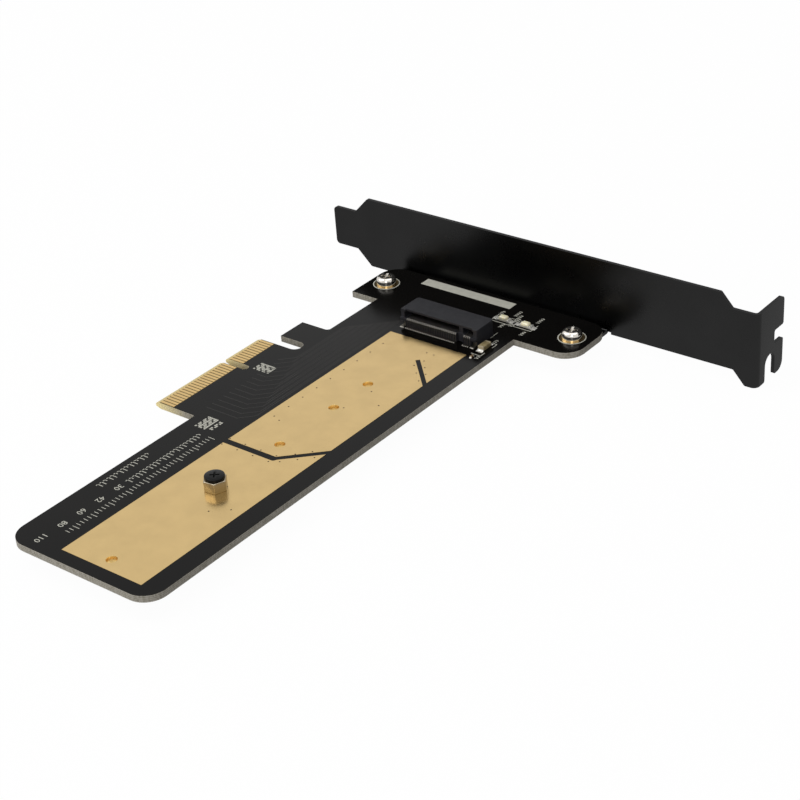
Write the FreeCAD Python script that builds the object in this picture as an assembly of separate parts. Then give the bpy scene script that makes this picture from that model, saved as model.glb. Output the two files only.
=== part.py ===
import FreeCAD, Part
import math
import os

# Expansion-slot adapter card: a T-shaped circuit board screwed to a folded slot
# bracket, with an edge tab of gold fingers, a module socket, a gold heat plane
# and a standoff that holds the far end of the module.
#
# All sizes are millimetres. The parts are drawn in the card's own frame:
#   x = 0  inner face of the slot bracket, +X along the board away from it
#   y = 0  centre line of the module, +Y towards the flange of the bracket
#   z = 0  top face of the bare board, +Z out of the component side
# and are moved at the end so that the origin is the bottom centre of the card.

Vector = FreeCAD.Vector
X, Y, Z = Vector(1, 0, 0), Vector(0, 1, 0), Vector(0, 0, 1)

# Circuit board
BOARD_THICKNESS = 1.57
BOARD_GAP = 1.0                 # bracket's inner face to the edge of the board
HEAD_DEPTH = 16.2               # wide end of the T, along x
HEAD_HALF_WIDTH = 31.95
BOARD_END_MARGIN = 6.17         # board beyond its last module hole
BODY_WIDTH = 40.0
BODY_LOW_Y = -24.1              # edge of the body beside the finger tab
BOARD_CORNER_R = 5.0
ROOT_R = 0.5                    # cutter radius left in an inner corner

# Edge tab and its gold fingers
KEY_X = 59.65                   # centre of the key notch
KEY_WIDTH = 1.9
KEY_DEPTH = 7.84
TAB_REACH = 11.99               # tip of the tab beyond the edge of the body
TAB_TO_BRACKET = 12.15          # key centre to the near end of the tab
TAB_TO_FAR = 22.15              # key centre to the far end of the tab
BEVEL_LENGTH = 1.3
BEVEL_ANGLE = 20.0
FINGER_PITCH = 1.0
FINGER_WIDTH = 0.7
FINGER_LENGTH = 4.05
FINGER_FROM_KEY = 1.5           # key centre to the middle of the first finger
NEAR_FINGERS = 11
FAR_FINGERS = 21

# Retention hook beside the tab
SLOT_WIDTH = 3.75
HOOK_WIDTH = 7.85
HOOK_REACH = 8.0
HOOK_ROOT_R = 1.0

# Gold plating and the heat plane
FOIL = 0.05
PLANE_START = 28.75
PLANE_END_MARGIN = 2.97         # plane beyond the last module hole
PLANE_WIDTH = 22.0
BREAK_X = 86.1                  # mask line right across the plane
BREAK_WIDTH = 1.6
BREAK_STRAIGHT_END_Y = 2.65
BREAK_DIAGONAL_WIDTH = 1.25
BREAK_DIAGONAL_RUN = 8.0
SLIT_START_X, SLIT_START_Y = 36.46, 2.85
SLIT_RUN = 8.15
SLIT_WIDTH = 1.05

# Module: where its end stops, and how far from there its screw can be
MODULE_STOP_X = 21.03
MODULE_LENGTHS = (30.0, 42.0, 60.0, 80.0, 110.0)
MODULE_IN_USE = 80.0
MODULE_EDGE = 0.925             # side of the module beyond the outermost lower contact
MODULE_THICKNESS = 0.8
HOLE_R = 1.2                    # inside of a plated hole
HOLE_RING = 0.45                # width of its ring on the lower face

# Standoff, its nut and the module screw
STANDOFF_HEIGHT = 2.5           # also the height of the module's lower face
STANDOFF_FLATS = 4.6
STANDOFF_VERTEX_ANGLE = 37.5
STANDOFF_CHAMFER = 0.15
STANDOFF_BORE_DEPTH = 2.2
MODULE_THREAD_R = 1.0
THREAD_CLEARANCE = 0.05
MODULE_HEAD_R = 2.2
MODULE_HEAD_HEIGHT = 0.8
MODULE_HEAD_CHAMFER = 0.2
MODULE_RECESS = (2.2, 0.4, 0.6)
MODULE_SCREW_LENGTH = 2.0
NUT_FLATS = 4.0
NUT_HEIGHT = 1.2
STUD_PAST_NUT = 0.3

# Slot bracket, folded from one sheet
SHEET = 0.86
PANEL_WIDTH = 18.42             # height of the panel, along z
BRACKET_LENGTH = 120.02         # tongue end to the outer face of the flange
FLANGE_Y = 69.26                # outer face of the flange
TONGUE_WIDTH = 10.19
TONGUE_LENGTH = 6.9
TONGUE_RISE = 3.98              # tongue's lower edge above the panel's
TONGUE_TAPER = 4.1
TONGUE_CORNER_R = 1.0
PANEL_CORNER_R = 0.5
NECK_DROP = 3.35                # flange end sits lower than the panel
NECK_TOP_Y, NECK_BOTTOM_Y = 59.7, 63.27
NECK_TAPER = 2.97
FLANGE_LENGTH = 11.85
FLANGE_BEND_R = 1.5             # outside of the bend
FLANGE_TOP_R, FLANGE_BOTTOM_R = 1.3, 2.2
SCREW_SLOT_WIDTH = 4.42
SCREW_SLOT_X = -5.95
SCREW_SLOT_DEPTH = 6.2
NOTCH_WIDTH = 3.4               # locating notch in the end of the flange
NOTCH_DEPTH = 4.1
NOTCH_RISE = 7.88
NOTCH_LIP_R = 0.5
TAB_WIDTH = 7.0
TAB_LENGTH = 13.5
TAB_END_R = 2.0
TAB_BEND_R = 0.4                # inside of the bend
RELIEF_WIDTH = 1.0
RELIEF_RISE = 0.55

# Screws that hold the board to the tabs
BRACKET_SCREW_X = 9.5
TONGUE_SCREW_INSET = 4.605      # from the ends of the board's head
FLANGE_SCREW_INSET = 5.045
SCREW_THREAD_R = 1.25
SCREW_HOLE_R = 1.45
SCREW_LENGTH = 4.0
PAN_HEAD_R = 2.4
PAN_HEAD_HEIGHT = 2.0
PAN_HEAD_CROWN = 0.95           # radius of the head's upper edge
CROWN_STEPS = 2
PAN_RECESS = (2.76, 0.6, 1.2)   # span, width of a slot, depth
SCREW_PAD_R = 3.0

# Module socket
SOCKET_END = 1.95               # end of the housing beyond the outermost lower contact
SOCKET_HEIGHT = 4.2
SOCKET_BACK_X = 17.75
ROOF_FRONT_X = 24.0
EAR_REACH = 0.5
LIP_REACH = 0.95
SOCKET_CORNER = 0.5
MOUTH_PLAY = 0.35               # room above and below the module
MOUTH_SIDE_PLAY = 0.03
CONTACT_PITCH = 0.5
CONTACT_WIDTH = 0.2
CONTACT_SHEET = 0.15
CONTACT_SLOT_PLAY = 0.05
CONTACTS_WIDE = 37              # positions in the lower row
SOCKET_KEY_Y = 6.125
SOCKET_KEY_WIDTH = 1.1
SOCKET_KEY_GAP = 1.0            # half the stretch with no contacts
TAIL_REACH = 0.65
ROOF_GROOVE = 0.3
LIP_GROOVE = 0.35
PEG_FROM_CONTACT = 1.0
PEG_X = 20.4
PEG_RADII = (0.75, 0.5)
PEG_LENGTH = 1.2
PEG_PLAY = 0.05
LUG_WIDTH = 1.0
LUG_FROM_CONTACT = 0.6
LUG_REACH = 0.6
LUG_SHEET = 0.2
LUG_HEIGHT = 1.2
LUG_POCKET_PLAY = 0.15

# Small surface-mounted parts: length along y for the lamps, along x for the rest
LAMP_X = 10.45
LAMP_YS = (8.5, 14.75)
LAMP_LENGTH, LAMP_WIDTH, LAMP_BASE_HEIGHT = 3.2, 1.6, 0.45
LENS_LENGTH, LENS_HEIGHT, LENS_DRAFT = 2.1, 0.65, 0.2
LARGE_CAP_X, SMALL_CAP_X = 23.85, 28.92
LARGE_CAP = (3.2, 1.6, 1.1)
SMALL_CAP = (1.0, 0.5, 0.4)
CAP_FROM_SOCKET = 0.8           # end of the socket to the side of the large capacitor
TERMINAL_SHARE_LARGE, TERMINAL_SHARE_SMALL = 0.5, 0.25
LAMP_FILLET, LARGE_FILLET, SMALL_FILLET = 0.6, 0.7, 0.35

# Values that follow from the ones above
HEAD_FAR_X = BOARD_GAP + HEAD_DEPTH
BODY_HIGH_Y = BODY_LOW_Y + BODY_WIDTH
TAB_TIP_Y = BODY_LOW_Y - TAB_REACH
TAB_NEAR_X = KEY_X - TAB_TO_BRACKET
TAB_FAR_X = KEY_X + TAB_TO_FAR
HOOK_FAR_X = TAB_NEAR_X - SLOT_WIDTH
HOOK_NEAR_X = HOOK_FAR_X - HOOK_WIDTH
BOARD_BOTTOM = -BOARD_THICKNESS
PANEL_BOTTOM = BOARD_BOTTOM - SHEET
PANEL_TOP = PANEL_BOTTOM + PANEL_WIDTH
FLANGE_BOTTOM = PANEL_BOTTOM - NECK_DROP
FLANGE_TOP = PANEL_TOP - NECK_DROP
TONGUE_Y = FLANGE_Y - BRACKET_LENGTH
SCREW_YS = (TONGUE_SCREW_INSET - HEAD_HALF_WIDTH, HEAD_HALF_WIDTH - FLANGE_SCREW_INSET)
HOLE_XS = [MODULE_STOP_X + length for length in MODULE_LENGTHS]
BOARD_FAR_X = max(HOLE_XS) + BOARD_END_MARGIN
PLANE_FAR_X = max(HOLE_XS) + PLANE_END_MARGIN
STANDOFF_X = MODULE_STOP_X + MODULE_IN_USE
MODULE_SHANK_R = MODULE_THREAD_R - THREAD_CLEARANCE
MOUTH_FLOOR = STANDOFF_HEIGHT - MOUTH_PLAY
MOUTH_ROOF = STANDOFF_HEIGHT + MODULE_THICKNESS + MOUTH_PLAY
CONTACT_HALF_SPAN = CONTACT_PITCH * (CONTACTS_WIDE - 1) / 2
MOUTH_HALF_WIDTH = CONTACT_HALF_SPAN + MODULE_EDGE + MOUTH_SIDE_PLAY
SOCKET_HALF_WIDTH = CONTACT_HALF_SPAN + SOCKET_END
CAP_Y = SOCKET_HALF_WIDTH + CAP_FROM_SOCKET + LARGE_CAP[1] / 2
LUG_INNER_Y = CONTACT_HALF_SPAN + LUG_FROM_CONTACT
PEG_Y = CONTACT_HALF_SPAN + PEG_FROM_CONTACT
LIP_FRONT_X = ROOF_FRONT_X + LIP_REACH


def block(x_range, y_range, z_range):
    """Box between two x, two y and two z values."""
    size = [high - low for low, high in (x_range, y_range, z_range)]
    return Part.makeBox(*size, Vector(x_range[0], y_range[0], z_range[0]))


def cylinder(radius, x, y, z_low, z_high):
    """Upright cylinder between two heights."""
    return Part.makeCylinder(radius, z_high - z_low, Vector(x, y, z_low), Z)


def rounded_face(corners, place):
    """Flat face whose outline runs through (u, v, radius) corners, each rounded by its radius.

    place turns a pair u, v into a point in space.
    """
    points = [Vector(u, v, 0) for u, v, radius in corners]
    turns = []
    for index, (u, v, radius) in enumerate(corners):
        here = points[index]
        back = (points[index - 1] - here).normalize()
        ahead = (points[(index + 1) % len(points)] - here).normalize()
        if not radius:
            turns.append((here, here, here))
            continue
        half_angle = back.getAngle(ahead) / 2
        reach = radius / math.tan(half_angle)
        inward = (back + ahead).normalize()
        middle = here + inward * (radius / math.sin(half_angle) - radius)
        turns.append((here + back * reach, middle, here + ahead * reach))
    edges = []
    for index, (start, middle, end) in enumerate(turns):
        if (end - start).Length > 1e-6:
            arc = Part.Arc(*[place(point.x, point.y) for point in (start, middle, end)])
            edges.append(arc.toShape())
        following = turns[(index + 1) % len(turns)][0]
        if (following - end).Length > 1e-6:
            edges.append(Part.makeLine(place(end.x, end.y), place(following.x, following.y)))
    return Part.Face(Part.Wire(edges))


def polygon_face(points):
    """Flat face with straight edges through points in space."""
    return Part.Face(Part.makePolygon(points + points[:1]))


def revolved(corners, x, y):
    """Solid of revolution about the upright axis at x, y.

    The profile runs through (distance from the axis, z, radius) corners, rounded by their radius.
    """
    return rounded_face(corners, lambda u, v: Vector(x + u, y, v)).revolve(Vector(x, y, 0), Z, 360)


def hexagon(flats, x, y, z_low, z_high, vertex_angle):
    """Upright hexagonal prism, measured across its flats."""
    radius = flats / math.sqrt(3)
    angles = [math.radians(vertex_angle + 60 * side) for side in range(6)]
    corners = [Vector(x + radius * math.cos(a), y + radius * math.sin(a), z_low) for a in angles]
    return polygon_face(corners).extrude(Z * (z_high - z_low))


def cross_recess(x, y, z_top, span, width, depth):
    """Cross of two tapering slots, to be cut from the top of a screw head."""
    foot = span * 0.3
    profile = [(-span / 2, 1), (span / 2, 1), (span / 2, 0), (foot / 2, -depth), (-foot / 2, -depth), (-span / 2, 0)]
    arms = []
    for along, across in ((X, Y), (Y, X)):
        centre = Vector(x, y, z_top) - across * (width / 2)
        arms.append(polygon_face([centre + along * u + Z * v for u, v in profile]).extrude(across * width))
    return arms[0].fuse(arms[1])


def quarter_bend(centre, inner, outer, first, second, run):
    """Quarter of a tube of sheet metal, from direction first round to direction second."""
    diagonal = (first + second).normalize()
    outer_arc = Part.Arc(*[centre + d * outer for d in (first, diagonal, second)]).toShape()
    inner_arc = Part.Arc(*[centre + d * inner for d in (second, diagonal, first)]).toShape()
    ends = [Part.makeLine(centre + second * outer, centre + second * inner),
            Part.makeLine(centre + first * inner, centre + first * outer)]
    return Part.Face(Part.Wire([outer_arc, ends[0], inner_arc, ends[1]])).extrude(run)


# Circuit board and its plating

def board_outline():
    """Outline of the T-shaped board with its hook, slot, edge tab and key notch."""
    key_low, key_high = KEY_X - KEY_WIDTH / 2, KEY_X + KEY_WIDTH / 2
    key_end = TAB_TIP_Y + KEY_DEPTH
    return [
        (BOARD_GAP, -HEAD_HALF_WIDTH, BOARD_CORNER_R),
        (HEAD_FAR_X, -HEAD_HALF_WIDTH, 0),
        (HEAD_FAR_X, BODY_LOW_Y, 0),
        (HOOK_NEAR_X, BODY_LOW_Y, HOOK_ROOT_R),
        (HOOK_NEAR_X, BODY_LOW_Y - HOOK_REACH, 0),
        (HOOK_FAR_X, BODY_LOW_Y - HOOK_REACH, 0),
        (HOOK_FAR_X, BODY_LOW_Y, SLOT_WIDTH / 2),
        (TAB_NEAR_X, BODY_LOW_Y, SLOT_WIDTH / 2),
        (TAB_NEAR_X, TAB_TIP_Y, 0),
        (key_low, TAB_TIP_Y, 0),
        (key_low, key_end, KEY_WIDTH / 2),
        (key_high, key_end, KEY_WIDTH / 2),
        (key_high, TAB_TIP_Y, 0),
        (TAB_FAR_X, TAB_TIP_Y, 0),
        (TAB_FAR_X, BODY_LOW_Y, ROOT_R),
        (BOARD_FAR_X, BODY_LOW_Y, BOARD_CORNER_R),
        (BOARD_FAR_X, BODY_HIGH_Y, BOARD_CORNER_R),
        (HEAD_FAR_X, BODY_HIGH_Y, 0),
        (HEAD_FAR_X, HEAD_HALF_WIDTH, BOARD_CORNER_R),
        (BOARD_GAP, HEAD_HALF_WIDTH, BOARD_CORNER_R),
    ]


def tab_bevels():
    """Two wedges that thin the tip of the edge tab from both faces."""
    slope = math.tan(math.radians(BEVEL_ANGLE))
    inner_y, outer_y = TAB_TIP_Y + BEVEL_LENGTH, TAB_TIP_Y - BEVEL_LENGTH
    depth = slope * (inner_y - outer_y)
    wedges = []
    for surface, inwards in ((0, -1), (BOARD_BOTTOM, 1)):
        outside = surface - inwards * BOARD_THICKNESS
        points = [(inner_y, surface), (inner_y, outside), (outer_y, outside), (outer_y, surface + inwards * depth)]
        face = polygon_face([Vector(TAB_NEAR_X - SLOT_WIDTH / 2, y, z) for y, z in points])
        wedges.append(face.extrude(X * (TAB_FAR_X - TAB_NEAR_X + SLOT_WIDTH)))
    return wedges


def circuit_board():
    """Bare laminate: the outline with its holes, its edge tab bevelled."""
    board = rounded_face(board_outline(), lambda u, v: Vector(u, v, BOARD_BOTTOM)).extrude(Z * BOARD_THICKNESS)
    holes = [cylinder(HOLE_R + FOIL, x, 0, BOARD_BOTTOM - 1, 1) for x in HOLE_XS]
    holes += [cylinder(SCREW_HOLE_R, BRACKET_SCREW_X, y, BOARD_BOTTOM - 1, 1) for y in SCREW_YS]
    holes += [cylinder(radius + PEG_PLAY, PEG_X, y, BOARD_BOTTOM - 1, 1) for radius, y in socket_pegs()]
    return board.cut(holes + tab_bevels())


def plane_breaks():
    """Mask lines in the heat plane: one right across it, one slit from its edge."""
    high_y = PLANE_WIDTH / 2
    low, top = -FOIL, 2 * FOIL
    straight = block((BREAK_X - BREAK_WIDTH / 2, BREAK_X + BREAK_WIDTH / 2), (-high_y - 1, BREAK_STRAIGHT_END_Y),
                     (low, top))
    rise = high_y - BREAK_STRAIGHT_END_Y
    lean = Vector(-BREAK_DIAGONAL_RUN, rise, 0).normalize()
    half = Vector(lean.y, -lean.x, 0) * (BREAK_DIAGONAL_WIDTH / 2)
    start = Vector(BREAK_X, BREAK_STRAIGHT_END_Y, low)
    end = start + lean * (math.hypot(BREAK_DIAGONAL_RUN, rise) + 2)
    diagonal = polygon_face([start - half, start + half, end + half, end - half]).extrude(Z * (top - low))
    elbow = cylinder(BREAK_WIDTH / 2, BREAK_X, BREAK_STRAIGHT_END_Y, low, top)
    slit_rise = high_y - SLIT_START_Y
    lean = Vector(SLIT_RUN, slit_rise, 0).normalize()
    half = Vector(lean.y, -lean.x, 0) * (SLIT_WIDTH / 2)
    start = Vector(SLIT_START_X, SLIT_START_Y, low)
    end = start + lean * (math.hypot(SLIT_RUN, slit_rise) + 2)
    slit = polygon_face([start - half, start + half, end + half, end - half]).extrude(Z * (top - low))
    return [straight, diagonal, elbow, slit]


def heat_plane():
    """The two gold areas of the plane, each with the plated holes that pass through it."""
    half = PLANE_WIDTH / 2
    foil = block((PLANE_START, PLANE_FAR_X), (-half, half), (0, FOIL)).cut(plane_breaks())
    areas = sorted(foil.Solids, key=lambda area: area.CenterOfMass.x)
    plated = []
    for area in areas:
        held = [x for x in HOLE_XS if area.BoundBox.XMin < x < area.BoundBox.XMax
                and area.isInside(Vector(x, 0, FOIL / 2), FOIL / 4, True)]
        barrels = [cylinder(HOLE_R + FOIL, x, 0, BOARD_BOTTOM, FOIL) for x in held]
        rings = [cylinder(HOLE_R + HOLE_RING, x, 0, BOARD_BOTTOM - FOIL, BOARD_BOTTOM) for x in held]
        bores = [cylinder(HOLE_R, x, 0, BOARD_BOTTOM - 1, 1) for x in held]
        plated.append(area.fuse(barrels + rings).cut(bores).removeSplitter())
    return plated


def screw_pad(y):
    """Gold ring under a bracket screw."""
    return cylinder(SCREW_PAD_R, BRACKET_SCREW_X, y, 0, FOIL).cut(cylinder(SCREW_HOLE_R, BRACKET_SCREW_X, y, -1, 1))


def edge_fingers(z_low):
    """Row of gold fingers on one face of the edge tab."""
    near = [KEY_X - FINGER_FROM_KEY - FINGER_PITCH * index for index in range(NEAR_FINGERS)]
    far = [KEY_X + FINGER_FROM_KEY + FINGER_PITCH * index for index in range(FAR_FINGERS)]
    start_y = TAB_TIP_Y + BEVEL_LENGTH
    return [block((x - FINGER_WIDTH / 2, x + FINGER_WIDTH / 2), (start_y, start_y + FINGER_LENGTH),
                  (z_low, z_low + FOIL)) for x in near + far]


# Slot bracket

def panel_outline():
    """Outline of the flat panel in y, z, from the tongue to the bend of the flange."""
    tongue_low, tongue_high = PANEL_BOTTOM + TONGUE_RISE, PANEL_BOTTOM + TONGUE_RISE + TONGUE_WIDTH
    shoulder = TONGUE_Y + TONGUE_LENGTH
    relief_top = PANEL_BOTTOM + RELIEF_RISE
    bend_start = BOARD_BOTTOM + TAB_BEND_R
    outline = [(TONGUE_Y, tongue_low, TONGUE_CORNER_R), (shoulder, tongue_low, PANEL_CORNER_R),
               (shoulder + TONGUE_TAPER, PANEL_BOTTOM, PANEL_CORNER_R)]
    for y in SCREW_YS:
        low, high = y - TAB_WIDTH / 2, y + TAB_WIDTH / 2
        outline += [(low - RELIEF_WIDTH, PANEL_BOTTOM, 0), (low - RELIEF_WIDTH, relief_top, 0),
                    (low, relief_top, 0), (low, bend_start, 0), (high, bend_start, 0), (high, relief_top, 0),
                    (high + RELIEF_WIDTH, relief_top, 0), (high + RELIEF_WIDTH, PANEL_BOTTOM, 0)]
    bend_y = FLANGE_Y - FLANGE_BEND_R
    outline += [(NECK_BOTTOM_Y, PANEL_BOTTOM, PANEL_CORNER_R),
                (NECK_BOTTOM_Y + NECK_TAPER, FLANGE_BOTTOM, PANEL_CORNER_R),
                (bend_y, FLANGE_BOTTOM, 0), (bend_y, FLANGE_TOP, 0),
                (NECK_TOP_Y + NECK_TAPER, FLANGE_TOP, PANEL_CORNER_R), (NECK_TOP_Y, PANEL_TOP, PANEL_CORNER_R),
                (shoulder + TONGUE_TAPER, PANEL_TOP, PANEL_CORNER_R), (shoulder, tongue_high, PANEL_CORNER_R),
                (TONGUE_Y, tongue_high, TONGUE_CORNER_R)]
    return outline


def flange_outline():
    """Outline of the flange in x, z, with its open screw slot and locating notch."""
    slot_near, slot_far = SCREW_SLOT_X + SCREW_SLOT_WIDTH / 2, SCREW_SLOT_X - SCREW_SLOT_WIDTH / 2
    slot_top = FLANGE_BOTTOM + SCREW_SLOT_DEPTH
    notch_low, notch_high = FLANGE_BOTTOM + NOTCH_RISE, FLANGE_BOTTOM + NOTCH_RISE + NOTCH_WIDTH
    notch_in = NOTCH_DEPTH - FLANGE_LENGTH
    return [
        (-FLANGE_BEND_R, FLANGE_TOP, 0), (-FLANGE_BEND_R, FLANGE_BOTTOM, 0),
        (slot_near, FLANGE_BOTTOM, NOTCH_LIP_R), (slot_near, slot_top, SCREW_SLOT_WIDTH / 2),
        (slot_far, slot_top, SCREW_SLOT_WIDTH / 2), (slot_far, FLANGE_BOTTOM, NOTCH_LIP_R),
        (-FLANGE_LENGTH, FLANGE_BOTTOM, FLANGE_BOTTOM_R), (-FLANGE_LENGTH, notch_low, NOTCH_LIP_R),
        (notch_in, notch_low, NOTCH_LIP_R), (notch_in, notch_high, NOTCH_LIP_R),
        (-FLANGE_LENGTH, notch_high, NOTCH_LIP_R), (-FLANGE_LENGTH, FLANGE_TOP, FLANGE_TOP_R),
    ]


def bracket_tab(y):
    """Tab folded under the board, with its bend and its tapped hole."""
    half = TAB_WIDTH / 2
    bend_centre = Vector(TAB_BEND_R, y - half, BOARD_BOTTOM + TAB_BEND_R)
    bend = quarter_bend(bend_centre, TAB_BEND_R, TAB_BEND_R + SHEET, -X, -Z, Y * TAB_WIDTH)
    outline = [(TAB_BEND_R, y - half, 0), (TAB_LENGTH, y - half, TAB_END_R), (TAB_LENGTH, y + half, TAB_END_R),
               (TAB_BEND_R, y + half, 0)]
    plate = rounded_face(outline, lambda u, v: Vector(u, v, PANEL_BOTTOM)).extrude(Z * SHEET)
    hole = cylinder(SCREW_THREAD_R, BRACKET_SCREW_X, y, PANEL_BOTTOM - 1, BOARD_BOTTOM + 1)
    return [bend, plate.cut(hole)]


def slot_bracket():
    """The whole bracket as one folded sheet."""
    panel = rounded_face(panel_outline(), lambda u, v: Vector(0, u, v)).extrude(X * -SHEET)
    flange = rounded_face(flange_outline(), lambda u, v: Vector(u, FLANGE_Y, v)).extrude(Y * -SHEET)
    bend_centre = Vector(-FLANGE_BEND_R, FLANGE_Y - FLANGE_BEND_R, FLANGE_BOTTOM)
    bend = quarter_bend(bend_centre, FLANGE_BEND_R - SHEET, FLANGE_BEND_R, X, Y, Z * PANEL_WIDTH)
    folds = [bend, flange]
    for y in SCREW_YS:
        folds += bracket_tab(y)
    return panel.fuse(folds).removeSplitter()


# Fasteners

def bracket_screw(y):
    """Pan-head screw through the board into a bracket tab."""
    top, tip = FOIL + PAN_HEAD_HEIGHT, FOIL - SCREW_LENGTH
    shank_r = SCREW_THREAD_R - THREAD_CLEARANCE
    turns = [math.radians(90 * step / CROWN_STEPS) for step in range(CROWN_STEPS + 1)]
    crown_r, crown_z = PAN_HEAD_R - PAN_HEAD_CROWN, top - PAN_HEAD_CROWN
    crown = [(crown_r + PAN_HEAD_CROWN * math.cos(a), crown_z + PAN_HEAD_CROWN * math.sin(a), 0) for a in turns]
    profile = [(0, tip, 0), (shank_r, tip, 0), (shank_r, FOIL, 0), (PAN_HEAD_R, FOIL, 0), *crown, (0, top, 0)]
    recess = cross_recess(BRACKET_SCREW_X, y, top, *PAN_RECESS)
    return revolved(profile, BRACKET_SCREW_X, y).cut(recess)


def standoff():
    """Hexagonal standoff with a blind threaded hole and a stud below it."""
    bottom, top = FOIL, STANDOFF_HEIGHT
    corner_r = STANDOFF_FLATS / math.sqrt(3)
    body = hexagon(STANDOFF_FLATS, STANDOFF_X, 0, bottom, top, STANDOFF_VERTEX_ANGLE)
    cut_r = corner_r - 2 * STANDOFF_CHAMFER
    limit = revolved([(0, bottom, 0), (corner_r, bottom, 0), (corner_r, top - STANDOFF_CHAMFER, 0), (cut_r, top, 0),
                      (0, top, 0)], STANDOFF_X, 0)
    stud_end = BOARD_BOTTOM - FOIL - NUT_HEIGHT - STUD_PAST_NUT
    stud = cylinder(MODULE_SHANK_R, STANDOFF_X, 0, stud_end, bottom)
    bore = cylinder(MODULE_THREAD_R, STANDOFF_X, 0, top - STANDOFF_BORE_DEPTH, top + 1)
    return body.common(limit).fuse(stud).cut(bore).removeSplitter()


def standoff_nut():
    """Thin nut that clamps the standoff from below."""
    top = BOARD_BOTTOM - FOIL
    bottom = top - NUT_HEIGHT
    nut = hexagon(NUT_FLATS, STANDOFF_X, 0, bottom, top, 0)
    return nut.cut(cylinder(MODULE_THREAD_R, STANDOFF_X, 0, bottom - 1, top + 1))


def module_screw():
    """Flat-headed screw that holds a module, run down on the standoff."""
    base, top = STANDOFF_HEIGHT, STANDOFF_HEIGHT + MODULE_HEAD_HEIGHT
    tip = base - MODULE_SCREW_LENGTH
    profile = [(0, tip, 0), (MODULE_SHANK_R, tip, 0), (MODULE_SHANK_R, base, 0), (MODULE_HEAD_R, base, 0),
               (MODULE_HEAD_R, top - MODULE_HEAD_CHAMFER, 0), (MODULE_HEAD_R - MODULE_HEAD_CHAMFER, top, 0),
               (0, top, 0)]
    recess = cross_recess(STANDOFF_X, 0, top, *MODULE_RECESS)
    return revolved(profile, STANDOFF_X, 0).cut(recess)


# Module socket

def socket_pegs():
    """Radius and y of the two locating pegs under the socket."""
    return list(zip(PEG_RADII, (-PEG_Y, PEG_Y)))


def contact_rows():
    """The y of each lower and each upper contact; the rows are staggered and skip the key."""
    lower = [-CONTACT_HALF_SPAN + CONTACT_PITCH * index for index in range(CONTACTS_WIDE)]
    upper = [-CONTACT_HALF_SPAN + CONTACT_PITCH * (index - 0.5) for index in range(CONTACTS_WIDE + 1)]
    return [[y for y in row if abs(y - SOCKET_KEY_Y) > SOCKET_KEY_GAP] for row in (lower, upper)]


def socket_housing():
    """Moulded housing: roof, mouth, key rib, toothed lip, ears, lug pockets and pegs."""
    half = SOCKET_HALF_WIDTH
    outline = [(SOCKET_BACK_X, -half + SOCKET_CORNER), (SOCKET_BACK_X + SOCKET_CORNER, -half), (ROOF_FRONT_X, -half),
               (ROOF_FRONT_X, half), (SOCKET_BACK_X + SOCKET_CORNER, half), (SOCKET_BACK_X, half - SOCKET_CORNER)]
    body = polygon_face([Vector(x, y, 0) for x, y in outline]).extrude(Z * SOCKET_HEIGHT)
    additions = [block((ROOF_FRONT_X, LIP_FRONT_X), (-half, half), (0, MOUTH_FLOOR))]
    for side in (-1, 1):
        ear_y = sorted((side * LUG_INNER_Y, side * half))
        additions.append(block((ROOF_FRONT_X, ROOF_FRONT_X + EAR_REACH), ear_y, (MOUTH_FLOOR, SOCKET_HEIGHT)))
    additions += [cylinder(radius, PEG_X, y, -PEG_LENGTH, 0) for radius, y in socket_pegs()]
    mouth = block((MODULE_STOP_X, LIP_FRONT_X + 1), (-MOUTH_HALF_WIDTH, MOUTH_HALF_WIDTH), (MOUTH_FLOOR, MOUTH_ROOF))
    key_y = (SOCKET_KEY_Y - SOCKET_KEY_WIDTH / 2, SOCKET_KEY_Y + SOCKET_KEY_WIDTH / 2)
    rib = block((MODULE_STOP_X, ROOF_FRONT_X), key_y, (MOUTH_FLOOR, MOUTH_ROOF))
    return body.fuse(additions).cut([mouth]).fuse([rib]).cut(socket_slots()).removeSplitter()


def socket_slots():
    """Slots for the contacts, the gap in the lip at the key and the pockets for the lugs."""
    lower, upper = contact_rows()
    half_slot = CONTACT_WIDTH / 2 + CONTACT_SLOT_PLAY
    depth = CONTACT_SHEET + 4 * CONTACT_SLOT_PLAY
    slots = []
    for y in lower:
        y_range = (y - half_slot, y + half_slot)
        slots.append(block((LIP_FRONT_X - depth, LIP_FRONT_X + 1), y_range, (-1, MOUTH_FLOOR + 1)))
        slots.append(block((MODULE_STOP_X, LIP_FRONT_X), y_range, (MOUTH_FLOOR - LIP_GROOVE, MOUTH_FLOOR)))
    for y in upper:
        y_range = (y - half_slot, y + half_slot)
        groove_top = MOUTH_ROOF + ROOF_GROOVE
        slots.append(block((SOCKET_BACK_X - 1, SOCKET_BACK_X + depth), y_range, (-1, groove_top)))
        slots.append(block((SOCKET_BACK_X, ROOF_FRONT_X - SOCKET_CORNER), y_range, (MOUTH_ROOF, groove_top)))
    beside_key = [y for y in lower if abs(y - SOCKET_KEY_Y) < SOCKET_KEY_GAP + CONTACT_PITCH]
    tooth = CONTACT_PITCH - half_slot
    slots.append(block((ROOF_FRONT_X + LUG_SHEET, LIP_FRONT_X + 1), (min(beside_key) + tooth, max(beside_key) - tooth),
                       (-1, MOUTH_FLOOR + 1)))
    pocket_top = LUG_HEIGHT + LUG_POCKET_PLAY
    for side in (-1, 1):
        pocket_y = sorted((side * (LUG_INNER_Y - LUG_POCKET_PLAY), side * (SOCKET_HALF_WIDTH + 1)))
        slots.append(block((ROOF_FRONT_X, LIP_FRONT_X + 1), pocket_y, (-1, pocket_top)))
    return slots


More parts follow.
